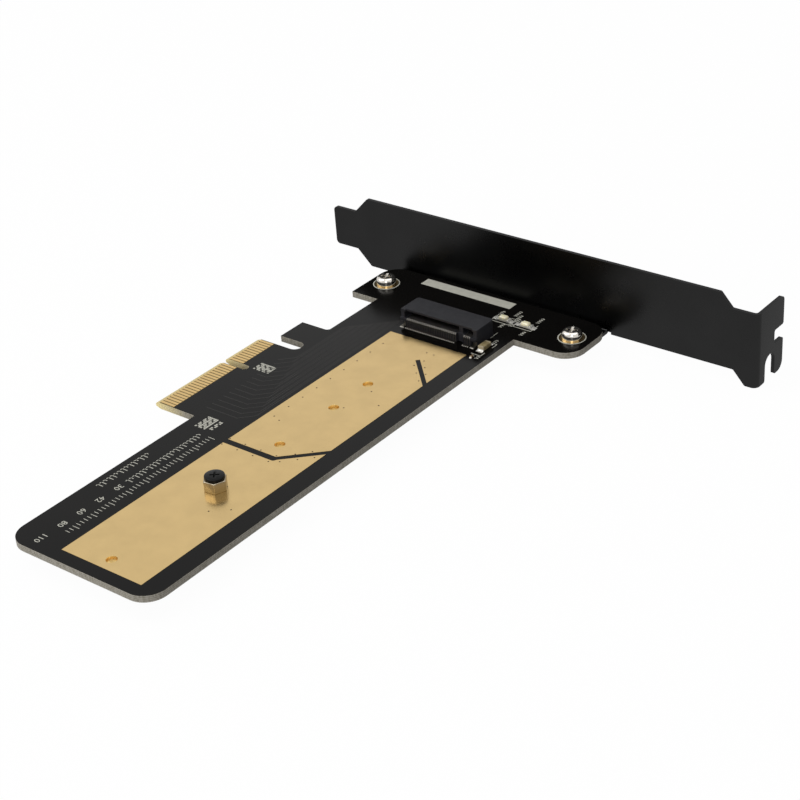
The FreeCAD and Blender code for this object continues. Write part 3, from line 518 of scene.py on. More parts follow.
class Blank:
    """Mesh in the making, in the card's own millimetres."""

    def __init__(self) -> None:
        """Start with nothing."""
        self.mesh = bmesh.new()

    @classmethod
    def of_node(cls, node: str) -> "Blank":
        """Copy of a CAD node, with its loose triangles merged and its flat faces made one.

        Args:
            node: name of the node.

        Returns:
            The copy.
        """
        blank = cls()
        mesh = blank.mesh
        mesh.from_mesh(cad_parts[node].data)
        bmesh.ops.transform(mesh, matrix=DATUM.matrix().inverted(), verts=mesh.verts)
        bmesh.ops.remove_doubles(mesh, verts=mesh.verts, dist=MERGE)
        bmesh.ops.dissolve_limit(mesh, angle_limit=math.radians(FLAT), verts=mesh.verts,
                                 edges=mesh.edges)
        return blank

    def box(self, low: Point3, high: Point3, bevel: float = 0.0,
            segments: int = 2) -> "Blank":
        """Add a box, its edges rounded by bevel.

        Args:
            low: lowest corner.
            high: highest corner.
            bevel: size of the rounding.
            segments: steps of the rounding.

        Returns:
            This blank.
        """
        start, end = Vector(low), Vector(high)
        matrix = Matrix.Translation((start + end) / 2) @ Matrix.Diagonal((*(end - start), 1))
        made = bmesh.ops.create_cube(self.mesh, size=1, matrix=matrix)
        if bevel:
            edges = list(dict.fromkeys(edge for vert in made["verts"] for edge in vert.link_edges))
            bmesh.ops.bevel(self.mesh, geom=edges, offset=bevel, segments=segments, profile=0.5,
                            affect="EDGES", material=-1, offset_type="OFFSET")
        return self

    def rod(self, x: float, y: float, z_low: float, z_high: float, radius: float,
            top_radius: float, steps: int) -> None:
        """Add an upright round bar that tapers.

        Args:
            x: place of its axis.
            y: place of its axis.
            z_low: lower end.
            z_high: upper end.
            radius: radius at the lower end.
            top_radius: radius at the upper end.
            steps: sides.
        """
        bmesh.ops.create_cone(self.mesh, cap_ends=True, segments=steps, radius1=radius,
                              radius2=top_radius, depth=z_high - z_low,
                              matrix=Matrix.Translation((x, y, (z_low + z_high) / 2)))

    def spun(self, profile: Sequence[Point2], x: float, y: float, steps: int,
             closed: bool = False) -> "Blank":
        """Turn a profile about an upright axis.

        Args:
            profile: points as distance from the axis and height.
            x: place of the axis.
            y: place of the axis.
            steps: sides of the turned shape.
            closed: join the last point to the first.

        Returns:
            This blank.
        """
        verts = [self.mesh.verts.new((x + radius, y, z)) for radius, z in profile]
        pairs = list(zip(verts, verts[1:])) + ([(verts[-1], verts[0])] if closed else [])
        edges = [self.mesh.edges.new(pair) for pair in pairs]
        bmesh.ops.spin(self.mesh, geom=verts + edges, cent=(x, y, 0), axis=(0, 0, 1),
                       dvec=(0, 0, 0), angle=2 * math.pi, steps=steps, use_merge=True,
                       use_duplicate=False)
        bmesh.ops.remove_doubles(self.mesh, verts=self.mesh.verts, dist=1e-5)
        return self

    def ridge(self, profile: Sequence[Point3], run: Point3) -> None:
        """Add a bar.

        Args:
            profile: its closed profile.
            run: the way and the length that the profile is drawn out.
        """
        face = self.mesh.faces.new([self.mesh.verts.new(point) for point in profile])
        lifted = bmesh.ops.extrude_face_region(self.mesh, geom=[face], use_keep_orig=True)
        verts = [item for item in lifted["geom"] if isinstance(item, bmesh.types.BMVert)]
        bmesh.ops.translate(self.mesh, vec=run, verts=verts)

    def track(self, path: Sequence[Point2], width: float, z_low: float, z_high: float) -> None:
        """Add a flat line of even width.

        Args:
            path: its middle line.
            width: its width.
            z_low: its lower face.
            z_high: its upper face.
        """
        points = [Vector(point) for point in path]
        left, right = [], []
        for index, point in enumerate(points):
            ways = []
            if index:
                ways.append((point - points[index - 1]).normalized())
            if index < len(points) - 1:
                ways.append((points[index + 1] - point).normalized())
            normals = [Vector((-way.y, way.x)) for way in ways]
            mitre = sum(normals[1:], normals[0].copy()).normalized()
            offset = mitre * (width / 2 / mitre.dot(normals[0]))
            left.append(tuple(point + offset))
            right.append(tuple(point - offset))
        outline = [(x, y, z_low) for x, y in left + right[::-1]]
        self.ridge(outline, (0, 0, z_high - z_low))

    def split(self, place: Point3, normal: Point3) -> "Blank":
        """Draw new edges where a plane meets the mesh.

        Args:
            place: a point of the plane.
            normal: the way that the plane faces.

        Returns:
            This blank.
        """
        everything = [*self.mesh.verts, *self.mesh.edges, *self.mesh.faces]
        bmesh.ops.bisect_plane(self.mesh, geom=everything, dist=1e-4, plane_co=place,
                               plane_no=normal)
        return self

    def figures(self, text: str, x: float, y: float, height: float, z_low: float,
                z_high: float) -> None:
        """Add plain figures that read along x.

        Args:
            text: digits.
            x: left end.
            y: foot of the figures.
            height: height of a figure.
            z_low: lower face.
            z_high: upper face.
        """
        curve = bpy.data.curves.new("figures", "FONT")
        curve.body = text
        curve.size = height / FIGURE_SHARE
        curve.extrude = (z_high - z_low) / 2
        curve.resolution_u = 2
        holder = bpy.data.objects.new("figures", curve)
        bpy.context.scene.collection.objects.link(holder)
        bpy.context.view_layer.update()
        mesh = finished_mesh(holder)
        mesh.transform(Matrix.Translation((x, y, (z_low + z_high) / 2)))
        self.mesh.from_mesh(mesh)
        bpy.data.objects.remove(holder)
        bpy.data.curves.remove(curve)
        bpy.data.meshes.remove(mesh)

    def holder(self, name: str) -> bpy.types.Object:
        """Move the mesh into a passing object, for a modifier to work on.

        Args:
            name: name of the object.

        Returns:
            The object.
        """
        bmesh.ops.recalc_face_normals(self.mesh, faces=self.mesh.faces)
        data = bpy.data.meshes.new(name)
        self.mesh.to_mesh(data)
        self.mesh.free()
        made = bpy.data.objects.new(name, data)
        bpy.context.scene.collection.objects.link(made)
        return made

    def cut(self, tool: "Blank") -> None:
        """Cut the shape of another blank out of this one.

        Args:
            tool: the shape to remove, which is used up.
        """
        target, cutter = self.holder("target"), tool.holder("cutter")
        step = target.modifiers.new("cut", "BOOLEAN")
        step.object = cutter
        step.operation = "DIFFERENCE"
        step.solver = "EXACT"
        bpy.context.view_layer.update()
        result = finished_mesh(target)
        self.mesh = bmesh.new()
        self.mesh.from_mesh(result)
        shapes = [target.data, cutter.data, result]
        for item in (target, cutter):
            bpy.data.objects.remove(item)
        for item in shapes:
            bpy.data.meshes.remove(item)

    def piece(self, name: str, coats: Sequence[Coat], slot: str, replaced: Iterable[str] = (),
              bevel: float = 0.0, segments: int = 2, smooth: float = 30.0,
              choose: Optional[Callable[[bmesh.types.BMFace], int]] = None) -> bpy.types.Object:
        """Make the object and give it its place, finish and body.

        Args:
            name: name of the object.
            coats: its finishes.
            slot: not used.
            replaced: CAD nodes that it stands for.
            bevel: width of a live bevel on the sharp edges.
            segments: steps of that bevel.
            smooth: edges flatter than this angle, in degrees, are shaded smooth.
            choose: gives the number of the finish for a face.

        Returns:
            The object.
        """
        bmesh.ops.recalc_face_normals(self.mesh, faces=self.mesh.faces)
        if choose:
            for face in self.mesh.faces:
                face.normal_update()
                face.material_index = choose(face)
        bmesh.ops.transform(self.mesh, matrix=DATUM.matrix(), verts=self.mesh.verts)
        data = bpy.data.meshes.new(name)
        self.mesh.to_mesh(data)
        self.mesh.free()
        for coat in coats:
            data.materials.append(coat.material)
        data.shade_smooth()
        data.set_sharp_from_angle(angle=math.radians(smooth))
        made = bpy.data.objects.new(name, data)
        bpy.context.scene.collection.objects.link(made)
        if bevel:
            rounding = made.modifiers.new("edge rounding", "BEVEL")
            rounding.width = bevel * MM
            rounding.segments = segments
            rounding.limit_method = "ANGLE"
            rounding.angle_limit = math.radians(smooth)
            rounding.harden_normals = False
            rounding.use_clamp_overlap = True
        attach(made, ROOT)
        if replaced:
            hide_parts(*replaced)
        LOG.info("%s: %d faces", name, len(data.polygons))
        return made


def recoat(node: str, coat: Coat) -> None:
    """Give a CAD node its finish and keep its shape.

    Args:
        node: name of the node.
        coat: the finish.
    """
    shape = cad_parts[node]
    shape.data.materials.clear()
    shape.data.materials.append(coat.material)
    LOG.info("%s: finish %s", node, coat.name.lower())


# ---------------------------------------------------------------- sub-assemblies


@dataclass(frozen=True)
class StrokeRow:
    """Row of plain printed strokes that each have a foot; sizes in millimetres."""

    left: float
    low: float
    count: int
    pitch: float = 0.72
    width: float = 0.3
    height: float = 0.85
    foot: float = 0.52
    foot_height: float = 0.22
    short_every: int = 0
    short_height: float = 0.0

    def lay(self, blank: Blank, top: float) -> None:
        """Add the strokes.

        Args:
            blank: mesh to add to.
            top: height of the print.
        """
        for index in range(self.count):
            x = self.left + index * self.pitch
            short = self.short_every and index % self.short_every == 0
            height = self.short_height if short else self.height
            blank.box((x, self.low, 0), (x + self.width, self.low + height, top))
            blank.box((x, self.low, 0), (x + self.foot, self.low + self.foot_height, top))


@dataclass(frozen=True)
class BlockGrid:
    """Regular grid of small printed blocks with some left out; sizes in millimetres."""

    left: float
    low: float
    columns: int
    rows: int
    pitch: float = 0.52
    block: float = 0.44
    left_out: int = 3

    def lay(self, blank: Blank, top: float) -> None:
        """Add the blocks.

        Args:
            blank: mesh to add to.
            top: height of the print.
        """
        for column in range(self.columns):
            for row in range(self.rows):
                if (column * row + column) % self.left_out != 1:
                    x, y = self.left + column * self.pitch, self.low + row * self.pitch
                    blank.box((x, y, 0), (x + self.block, y + self.block, top))


@dataclass(frozen=True)
class Rule:
    """Printed rule with a mark for each millimetre; sizes in millimetres."""

    left: float = 86.9
    low: float = -15.3
    count: int = 43
    half_width: float = 0.08
    short: float = 1.25
    tall: float = 1.9
    tall_every: int = 5

    def lay(self, blank: Blank, top: float) -> None:
        """Add the marks.

        Args:
            blank: mesh to add to.
            top: height of the print.
        """
        for index in range(self.count):
            x = self.left + index
            height = self.short if index % self.tall_every else self.tall
            blank.box((x - self.half_width, self.low, 0),
                      (x + self.half_width, self.low + height, top))


@dataclass(frozen=True)
class TraceFan:
    """Pairs of traces that fan out from the socket to the fingers; sizes in millimetres."""

    count: int = 14
    pitch: float = 0.75
    pair_shift: float = -0.2
    width: float = 0.25
    start_x: float = 22.0
    straight_x: float = 24.0
    lead_rise: float = 1.2
    first_y: float = -12.3
    turn_x: float = 50.0
    turn_pitch: float = 1.9
    slant: float = 3.0
    end_y: float = -24.5

    def lay(self, blank: Blank, top: float) -> None:
        """Add the traces.

        Args:
            blank: mesh to add to.
            top: height of the traces.
        """
        for index in range(self.count):
            step = index * self.pitch + (index % 2) * self.pair_shift
            y = self.first_y - step
            turn = self.turn_x + (self.count - 1 - index) * self.turn_pitch
            end = turn + self.slant
            path = ((self.start_x + step, y + self.lead_rise), (self.straight_x + step, y),
                    (turn, y), (end, y - self.slant), (end, self.end_y))
            blank.track(path, self.width, 0, top)


SCREW_SPOTS = {"tongue_side_screw": (9.5, -27.345), "flange_side_screw": (9.5, 26.905)}
MARKS: Sequence[Sequence[Point2]] = (
    ((27.45, 11.3), (27.6, 14.0), (25.9, 14.0)),
    ((23.1, 14.1), (21.2, 14.1), (21.2, 13.5)),
    ((21.4, 11.2), (23.6, 11.2)),
    ((19.4, 10.98), (16.4, 10.93)),
    ((12.0, 5.9), (12.0, 10.9), (8.9, 10.9)),
    ((8.9, 5.9), (12.0, 5.9)),
    ((12.0, 12.1), (12.0, 17.1), (8.9, 17.1)),
    ((8.9, 12.1), (12.0, 12.1)),
    ((8.9, 9.6), (8.9, 10.9)),
    ((8.9, 12.1), (8.9, 13.2)),
)
LABELS = tuple(StrokeRow(*row) for row in (
    (12.1, 9.3, 3), (6.9, 5.7, 3), (5.0, 9.35, 4), (6.6, 10.6, 3), (5.3, 15.8, 4),
    (12.9, 15.7, 3), (19.5, 12.6, 3), (27.9, 13.4, 2), (8.2, 11.0, 3), (11.2, 11.1, 2),
))
SCALE_STROKES = (
    StrokeRow(87.1, -18.2, 22, pitch=1.02, width=0.2, height=1.6, foot=0.65, short_every=4,
              short_height=0.9),
    StrokeRow(98.8, -22.3, 15, pitch=1.02, width=0.2, height=1.6, foot=0.65, short_every=3,
              short_height=0.8),
)
GRIDS = (BlockGrid(56.1, -27.2, 6, 9), BlockGrid(80.4, -21.2, 9, 6), BlockGrid(80.8, -17.5, 7, 2))
VIA_ROWS: Sequence[tuple[Point2, Point2, int]] = (
    ((34.35, -8.82), (4.8, 0), 9), ((84.95, -10.75), (0, 4.4), 4), ((87.55, -10.75), (0, 4.4), 4),
    ((38.9, 3.68), (2.55, 2.6), 3), ((36.14, 4.4), (2.33, 2.0), 3),
)
VIA_SPOTS: Sequence[Point2] = (
    (86.33, 4.55), (82.33, 5.4), (83.71, 7.21), (79.59, 7.86), (81.2, 9.76), (32.7, 2.58),
    (32.7, 4.62), (62.0, 1.97), (53.26, 2.78), (57.23, 7.96), (73.54, -6.71), (99.47, 1.66),
    (105.4, 8.16), (108.26, 4.63),
)


@dataclass
class Board:
    """Laminate with its solder mask, traces, prints and gold plating; sizes in millimetres.

    A face is a wall where its normal's upright part is under wall_level, and else a bevel where
    that part is under bevel_level.
    """

    thickness: float = 1.57
    mask_end_y: float = -30.7
    tab_start_x: float = 45.0
    tab_wall_y: float = -24.2
    wall_level: float = 0.5
    bevel_level: float = 0.98
    foil: float = 0.05
    ink: float = 0.015
    trace_lift: float = 0.018
    ring_inner: float = 3.08
    ring_width: float = 0.26
    bar_low: Point2 = (2.3, -19.9)
    bar_high: Point2 = (5.35, 6.5)
    mark_width: float = 0.16
    lengths: Sequence[str] = ("30", "42", "60", "80", "110")
    figure_start: Point2 = (110.6, -18.3)
    figure_pitch: float = 5.3
    figure_height: float = 1.55
    via_radius: float = 0.2
    via_top_radius: float = 0.16
    via_height: float = 0.012
    via_sides: int = 10
    hole_xs: Sequence[float] = (51.03, 63.03, 81.03, 131.03)
    hole_radius: float = 1.2
    sleeve_wall: float = 0.02
    sleeve_chamfer: float = 0.03
    sleeve_sides: int = 40

    def build(self) -> None:
        """Make the board and everything that is printed or plated on it."""
        self.laminate()
        self.prints()
        self.scales()
        self.traces()
        self.vias()
        self.sleeves()
        for node in ("heat_plane_near", "heat_plane_far", "tongue_side_screw_pad",
                     "flange_side_screw_pad"):
            recoat(node, Coat.GOLD)
        for node in ("edge_fingers_top", "edge_fingers_bottom"):
            recoat(node, Coat.FINGER)

    def laminate(self) -> None:
        """Copy the board, with its tab left bare between the fingers."""
        blank = Blank.of_node("circuit_board").split((0, self.mask_end_y, 0), (0, 1, 0))
        coats = (Coat.MASK, Coat.CLOTH, Coat.BEVEL, Coat.WALL, Coat.TAB_WALL)
        blank.piece("dressed_board", coats, "board_laminate", ("circuit_board",), smooth=25,
                    choose=self.face_coat)

    def face_coat(self, face: bmesh.types.BMFace) -> int:
        """Number of the finish that a face of the board takes.

        Args:
            face: face of the board.

        Returns:
            Its place among the board's finishes.
        """
        mask, cloth, bevel, wall, tab_wall = range(5)
        upright = abs(face.normal.z)
        middle = face.calc_center_median()
        on_tab = middle.x > self.tab_start_x
        if upright < self.wall_level:
            return tab_wall if on_tab and middle.y < self.tab_wall_y else wall
        if upright < self.bevel_level:
            return bevel
        return cloth if on_tab and middle.y < self.mask_end_y else mask

    def prints(self) -> None:
        """Print the rings round the screws, the writing bar and the small parts' marks."""
        blank = Blank()
        inner, outer, top = self.ring_inner, self.ring_inner + self.ring_width, self.ink
        for x, y in SCREW_SPOTS.values():
            profile = [(inner, 0), (outer, 0), (outer, top), (inner, top)]
            blank.spun(profile, x, y, TURNED_SIDES, closed=True)
        blank.box((*self.bar_low, 0), (*self.bar_high, top))
        for path in MARKS:
            blank.track(path, self.mark_width, 0, top)
        for row in LABELS:
            row.lay(blank, top)
        blank.piece("board_prints", (Coat.INK,), "board_laminate")

    def scales(self) -> None:
        """Print a plain rule, the module lengths and small regular grids near the low edge."""
        blank = Blank()
        Rule().lay(blank, self.ink)
        for part in (*SCALE_STROKES, *GRIDS):
            part.lay(blank, self.ink)
        x, y = self.figure_start
        for index, text in enumerate(self.lengths):
            blank.figures(text, x + index * self.figure_pitch, y, self.figure_height, 0, self.ink)
        blank.piece("board_scales", (Coat.INK,), "board_laminate")

    def traces(self) -> None:
        """Raise the traces that run under the mask."""
        blank = Blank()
        TraceFan().lay(blank, self.trace_lift)
        blank.piece("mask_traces", (Coat.TRACE,), "board_laminate")

    def vias(self) -> None:
        """Stitch the plane with small filled vias along its edges and its breaks."""
        spots = [(start[0] + index * step[0], start[1] + index * step[1])
                 for start, step, count in VIA_ROWS for index in range(count)]
        blank = Blank()
        for x, y in (*spots, *VIA_SPOTS):
            blank.rod(x, y, self.foil, self.foil + self.via_height, self.via_radius,
                      self.via_top_radius, self.via_sides)
        blank.piece("plane_vias", (Coat.VIA,), "gold_plate")

    def sleeves(self) -> None:
        """Line the plated holes."""
        blank = Blank()
        inner, outer = self.hole_radius - self.sleeve_wall, self.hole_radius
        low, top = -self.thickness - self.foil, self.foil
        profile = [(inner, low), (inner, top - self.sleeve_chamfer), (outer, top), (outer, low)]
        for x in self.hole_xs:
            blank.spun(profile, x, 0, self.sleeve_sides, closed=True)
        blank.piece("plated_sleeves", (Coat.SLEEVE,), "gold_plate", smooth=50)


@dataclass
class Bracket:
    """Folded slot bracket in black paint."""

    edge: float = 0.14

    def build(self) -> None:
        """Copy the folded sheet with rounded, painted edges."""
        Blank.of_node("slot_bracket").piece("painted_bracket", (Coat.PAINT,), "black_paint",
                                            ("slot_bracket",), bevel=self.edge, segments=3)


@dataclass(frozen=True)
class CrossRecess:
    """Cross in a screw's head; sizes in millimetres, direction in degrees.

    An arm narrows to the two shares at its foot, and its cutter stands over the screw's top.
    """

    span: float
    width: float
    depth: float
    turn: float
    over: float = 0.5
    foot_span: float = 0.35
    foot_width: float = 0.8

    def arm(self, place: Point3, turn: float) -> Blank:
        """One tapering arm of the cross.

        Args:
            place: middle of the screw's top.
            turn: direction of the arm.

        Returns:
            The cutter.
        """
        blank = Blank().box((-self.span / 2, -self.width / 2, -self.depth),
                            (self.span / 2, self.width / 2, self.over))
        blank.split((0, 0, 0), (0, 0, 1))
        for vert in blank.mesh.verts:
            if vert.co.z < -self.depth / 2:
                vert.co.x *= self.foot_span
                vert.co.y *= self.foot_width
        matrix = Matrix.Translation(place) @ Matrix.Rotation(math.radians(turn), 4, "Z")
        bmesh.ops.transform(blank.mesh, matrix=matrix, verts=blank.mesh.verts)
        return blank

    def cut(self, screw: Blank, place: Point3) -> None:
        """Cut the cross into a screw.

        Args:
            screw: the screw.
            place: middle of its top.
        """
        for turn in (self.turn, self.turn + 90):
            screw.cut(self.arm(place, turn))


@dataclass(frozen=True)
class Thread:
    """Thread of a screw; sizes in millimetres, crest and root measured down each turn."""

    radius: float
    pitch: float
    turns: int
    depth: float
    crest: float
    root: float

    def profile(self, top: float) -> list[Point2]:
        """Outline of the thread.

        Args:
            top: height where it starts.

        Returns:
            Points as distance from the axis and height.
        """
        points = []
        for turn in range(self.turns):
            z = top - self.pitch * turn
            points += [(self.radius, z - self.crest), (self.radius - self.depth, z - self.root)]
        return points


@dataclass
class PanScrew:
    """Pan-head screw with a cross recess, standing on its pad; sizes in millimetres."""

    name: str
    x: float
    y: float
    head_radius: float = 2.4
    head_height: float = 2.0
    crown: float = 0.95
    under_edge: float = 0.06
    seat: float = 0.05
    length: float = 4.0
    point: float = 0.5
    shank_radius: float = 1.2
    turns: int = 10
    thread_depth: float = 0.16
    tip_taper: float = 0.2
    edge: float = 0.06
    recess: CrossRecess = CrossRecess(span=2.76, width=0.6, depth=1.2, turn=20.0)

    def build(self) -> None:
        """Turn the screw and cut its recess."""
        top, tip = self.seat + self.head_height, self.seat - self.length
        pitch = (self.length - self.point) / self.turns
        thread = Thread(self.shank_radius, pitch, self.turns, self.thread_depth,
                        crest=pitch / 4, root=pitch * 3 / 4)
        crown = [(self.head_radius - self.crown + self.crown * math.sin(math.radians(angle)),
                  top - self.crown + self.crown * math.cos(math.radians(angle)))
                 for angle in range(0, 91, 10)]
        profile = [(0, top), *crown, (self.head_radius, self.seat + self.under_edge),
                   (self.head_radius - self.under_edge, self.seat), (self.shank_radius, self.seat),
                   *thread.profile(self.seat), (self.shank_radius - self.tip_taper, tip), (0, tip)]
        screw = Blank().spun(profile, self.x, self.y, TURNED_SIDES)
        self.recess.cut(screw, (self.x, self.y, top))
        screw.piece("turned_" + self.name, (Coat.NICKEL,), "nickel_plate", (self.name,),
                    bevel=self.edge)


@dataclass
class Socket:
    """Module socket: housing, two rows of contacts and two hold-down lugs; sizes in millimetres."""

    pitch: float = 0.5
    positions: int = 37
    key_y: float = 6.125
    key_gap: float = 1.0
    front_tail_x: float = 25.6
    back_tail_x: float = 17.1
    lug_y: float = 10.1
    lug_x: float = 25.55
    joint_width: float = 0.13
    joint: Sequence[Point2] = ((0.16, 0), (0.02, 0.1), (-0.12, 0.17), (-0.3, 0.16), (-0.3, 0))
    lug_width: float = 1.04
    lug_joint: Sequence[Point2] = ((0.2, 0), (0.05, 0.06), (-0.1, 0.14), (-0.2, 0.12), (-0.25, 0))
    lip_x: float = 24.95
    lip_top: float = 2.15
    bend_width: float = 0.1
    bend: Sequence[Point2] = ((-0.5, -0.06), (-0.36, 0.05), (-0.02, -0.3), (-0.1, -0.4))
    edge: float = 0.06

    def build(self) -> None:
        """Make the housing, colour the contacts and solder their tails."""
        Blank.of_node("socket_housing").piece("moulded_housing", (Coat.PLASTIC,),
                                              "socket_plastic", ("socket_housing",),
                                              bevel=self.edge)
        # The contacts and the lugs take the near-black metal, which is painted shade of the
        # socket's mouth.
        for node in ("socket_lower_contacts", "socket_upper_contacts", "socket_solder_lugs"):
            recoat(node, Coat.SHADED_CONTACT)
        front, back = self.rows()
        self.joints(front, back)
        self.bends(front)

    def rows(self) -> tuple[list[float], list[float]]:
        """Places of the contacts.

        Returns:
            The y of each front contact and of each back contact.
        """
        half = self.pitch * (self.positions - 1) / 2
        front = [-half + self.pitch * index for index in range(self.positions)]
        back = [-half + self.pitch * (index - 0.5) for index in range(self.positions + 1)]
        return self.beside_key(front), self.beside_key(back)

    def beside_key(self, ys: Sequence[float]) -> list[float]:
        """The places that the key leaves free."""
        return [y for y in ys if abs(y - self.key_y) > self.key_gap]

    def joints(self, front: Sequence[float], back: Sequence[float]) -> None:
        """Solder each tail and each lug to its pad.

        Args:
            front: the y of each front contact.
            back: the y of each back contact.
        """
        blank = Blank()
        for ys, tip, way in ((front, self.front_tail_x, 1), (back, self.back_tail_x, -1)):
            for y in ys:
                low = y - self.joint_width / 2
                profile = [(tip + way * along, low, rise) for along, rise in self.joint]
                blank.ridge(profile, (0, self.joint_width, 0))
        for y in (-self.lug_y, self.lug_y):
            low = y - self.lug_width / 2
            profile = [(self.lug_x + along, low, rise) for along, rise in self.lug_joint]
            blank.ridge(profile, (0, self.lug_width, 0))
        blank.piece("socket_joints", (Coat.TIN,), "solder")

    def bends(self, front: Sequence[float]) -> None:
        """Add the bright bends of the front contacts on the lip.

        Args:
            front: the y of each front contact.
        """
        blank = Blank()
        for y in front:
            low = y - self.bend_width / 2
            profile = [(self.lip_x + along, low, self.lip_top + rise) for along, rise in self.bend]
            blank.ridge(profile, (0, self.bend_width, 0))
        blank.piece("lip_bends", (Coat.TIN,), "tin_plate")


@dataclass
class Standoff:
    """Brass standoff with its nut and the black module screw; sizes in millimetres."""

    x: float = 101.03
    y: float = 0.0
    brass_edge: float = 0.17
    nut_edge: float = 0.1
    seat: float = 2.5
    head_radius: float = 2.2
    head_height: float = 0.8
    top_edge: float = 0.22
    top_fall: float = 0.07
    under_edge: float = 0.06
    length: float = 2.0
    tip_taper: float = 0.15
    edge: float = 0.04
    thread: Thread = Thread(radius=0.95, pitch=0.26, turns=7, depth=0.1, crest=0.06, root=0.19)
    recess: CrossRecess = CrossRecess(span=2.2, width=0.4, depth=0.6, turn=38.0)

    def build(self) -> None:
        """Copy the brass parts and turn the screw."""
        for node, name, edge in (("standoff", "brass_standoff", self.brass_edge),
                                 ("standoff_nut", "brass_nut", self.nut_edge)):
            Blank.of_node(node).piece(name, (Coat.BRASS,), "brass", (node,), bevel=edge)
        top, tip = self.seat + self.head_height, self.seat - self.length
        radius, shank = self.head_radius, self.thread.radius
        profile = [(0, top), (radius - self.top_edge, top),
                   (radius - self.under_edge, top - self.top_fall), (radius, top - self.top_edge),
                   (radius, self.seat + self.under_edge), (radius - self.under_edge, self.seat),
                   (shank, self.seat), *self.thread.profile(self.seat),
                   (shank - self.tip_taper, tip), (0, tip)]
        screw = Blank().spun(profile, self.x, self.y, TURNED_SIDES)
        self.recess.cut(screw, (self.x, self.y, top))
        screw.piece("turned_module_screw", (Coat.BLACKED,), "black_screw", ("module_screw",),
                    bevel=self.edge)


@dataclass
class Lamp:
    """Indicator lamp: ceramic base with metal ends and a moulded lens; sizes in millimetres."""

    name: str
    y: float
    x: float = 10.45
    length: float = 3.2
    width: float = 1.6
    base_height: float = 0.45
    base_edge: float = 0.06
    end_cover: float = 0.5
    end_proud: float = 0.02
    end_lift: float = 0.03
    end_edge: float = 0.05
    lens_length: float = 2.1
    lens_inset: float = 0.05
    lens_height: float = 0.65
    lens_root: float = 0.2
    lens_round: float = 0.4

    def build(self) -> None:
        """Make the base, its ends and the lens."""
        half_x, half_y = self.width / 2, self.length / 2
        base = Blank().box((self.x - half_x, self.y - half_y, 0),
                           (self.x + half_x, self.y + half_y, self.base_height), self.base_edge)
        base.piece(f"{self.name}_ceramic", (Coat.LAMP,), "lamp_body", (f"{self.name}_lamp_base",))
        ends = Blank()
        half, top = half_x + self.end_proud, self.base_height + self.end_lift
        for side in (-1, 1):
            near, far = sorted(self.y + side * reach
                               for reach in (half_y - self.end_cover, half_y + self.end_proud))
            ends.box((self.x - half, near, 0), (self.x + half, far, top), self.end_edge)
        ends.piece(f"{self.name}_ends", (Coat.SOLDER,), "lamp_body")
        half = half_x - self.lens_inset
        low, high = self.base_height - self.lens_root, self.base_height + self.lens_height
        lens = Blank().box((self.x - half, self.y - self.lens_length / 2, low),
                           (self.x + half, self.y + self.lens_length / 2, high),
                           self.lens_round, 5)
        lens.piece(f"{self.name}_lens", (Coat.LENS,), "lamp_lens", (f"{self.name}_lamp_lens",),
                   smooth=60)


@dataclass
class Chip:
    """Chip capacitor along x: ceramic body and two end caps; sizes in millimetres.

    The roundings of the body and of its caps are shares of the height.
    """

    name: str
    x: float
    y: float
    size: Point3
    cap: float
    body_coat: Coat
    slot: str
    body_edge: float = 0.08
    cap_edge: float = 0.14
    cap_proud: float = 0.01

    def build(self) -> None:
        """Make the body and its caps."""
        length, width, height = self.size
        low, high = self.x - length / 2, self.x + length / 2
        body = Blank().box((low + self.cap, self.y - width / 2, 0),
                           (high - self.cap, self.y + width / 2, height), height * self.body_edge)
        body.piece(f"{self.name}_ceramic", (self.body_coat,), self.slot,
                   (f"{self.name}_capacitor_body",))
        caps = Blank()
        half = width / 2 + self.cap_proud
        for near in (low, high - self.cap):
            caps.box((near, self.y - half, 0),
                     (near + self.cap, self.y + half, height + self.cap_proud),
                     height * self.cap_edge, 3)
        caps.piece(f"{self.name}_caps", (Coat.CAP,), "tin_plate", (f"{self.name}_capacitor_ends",))


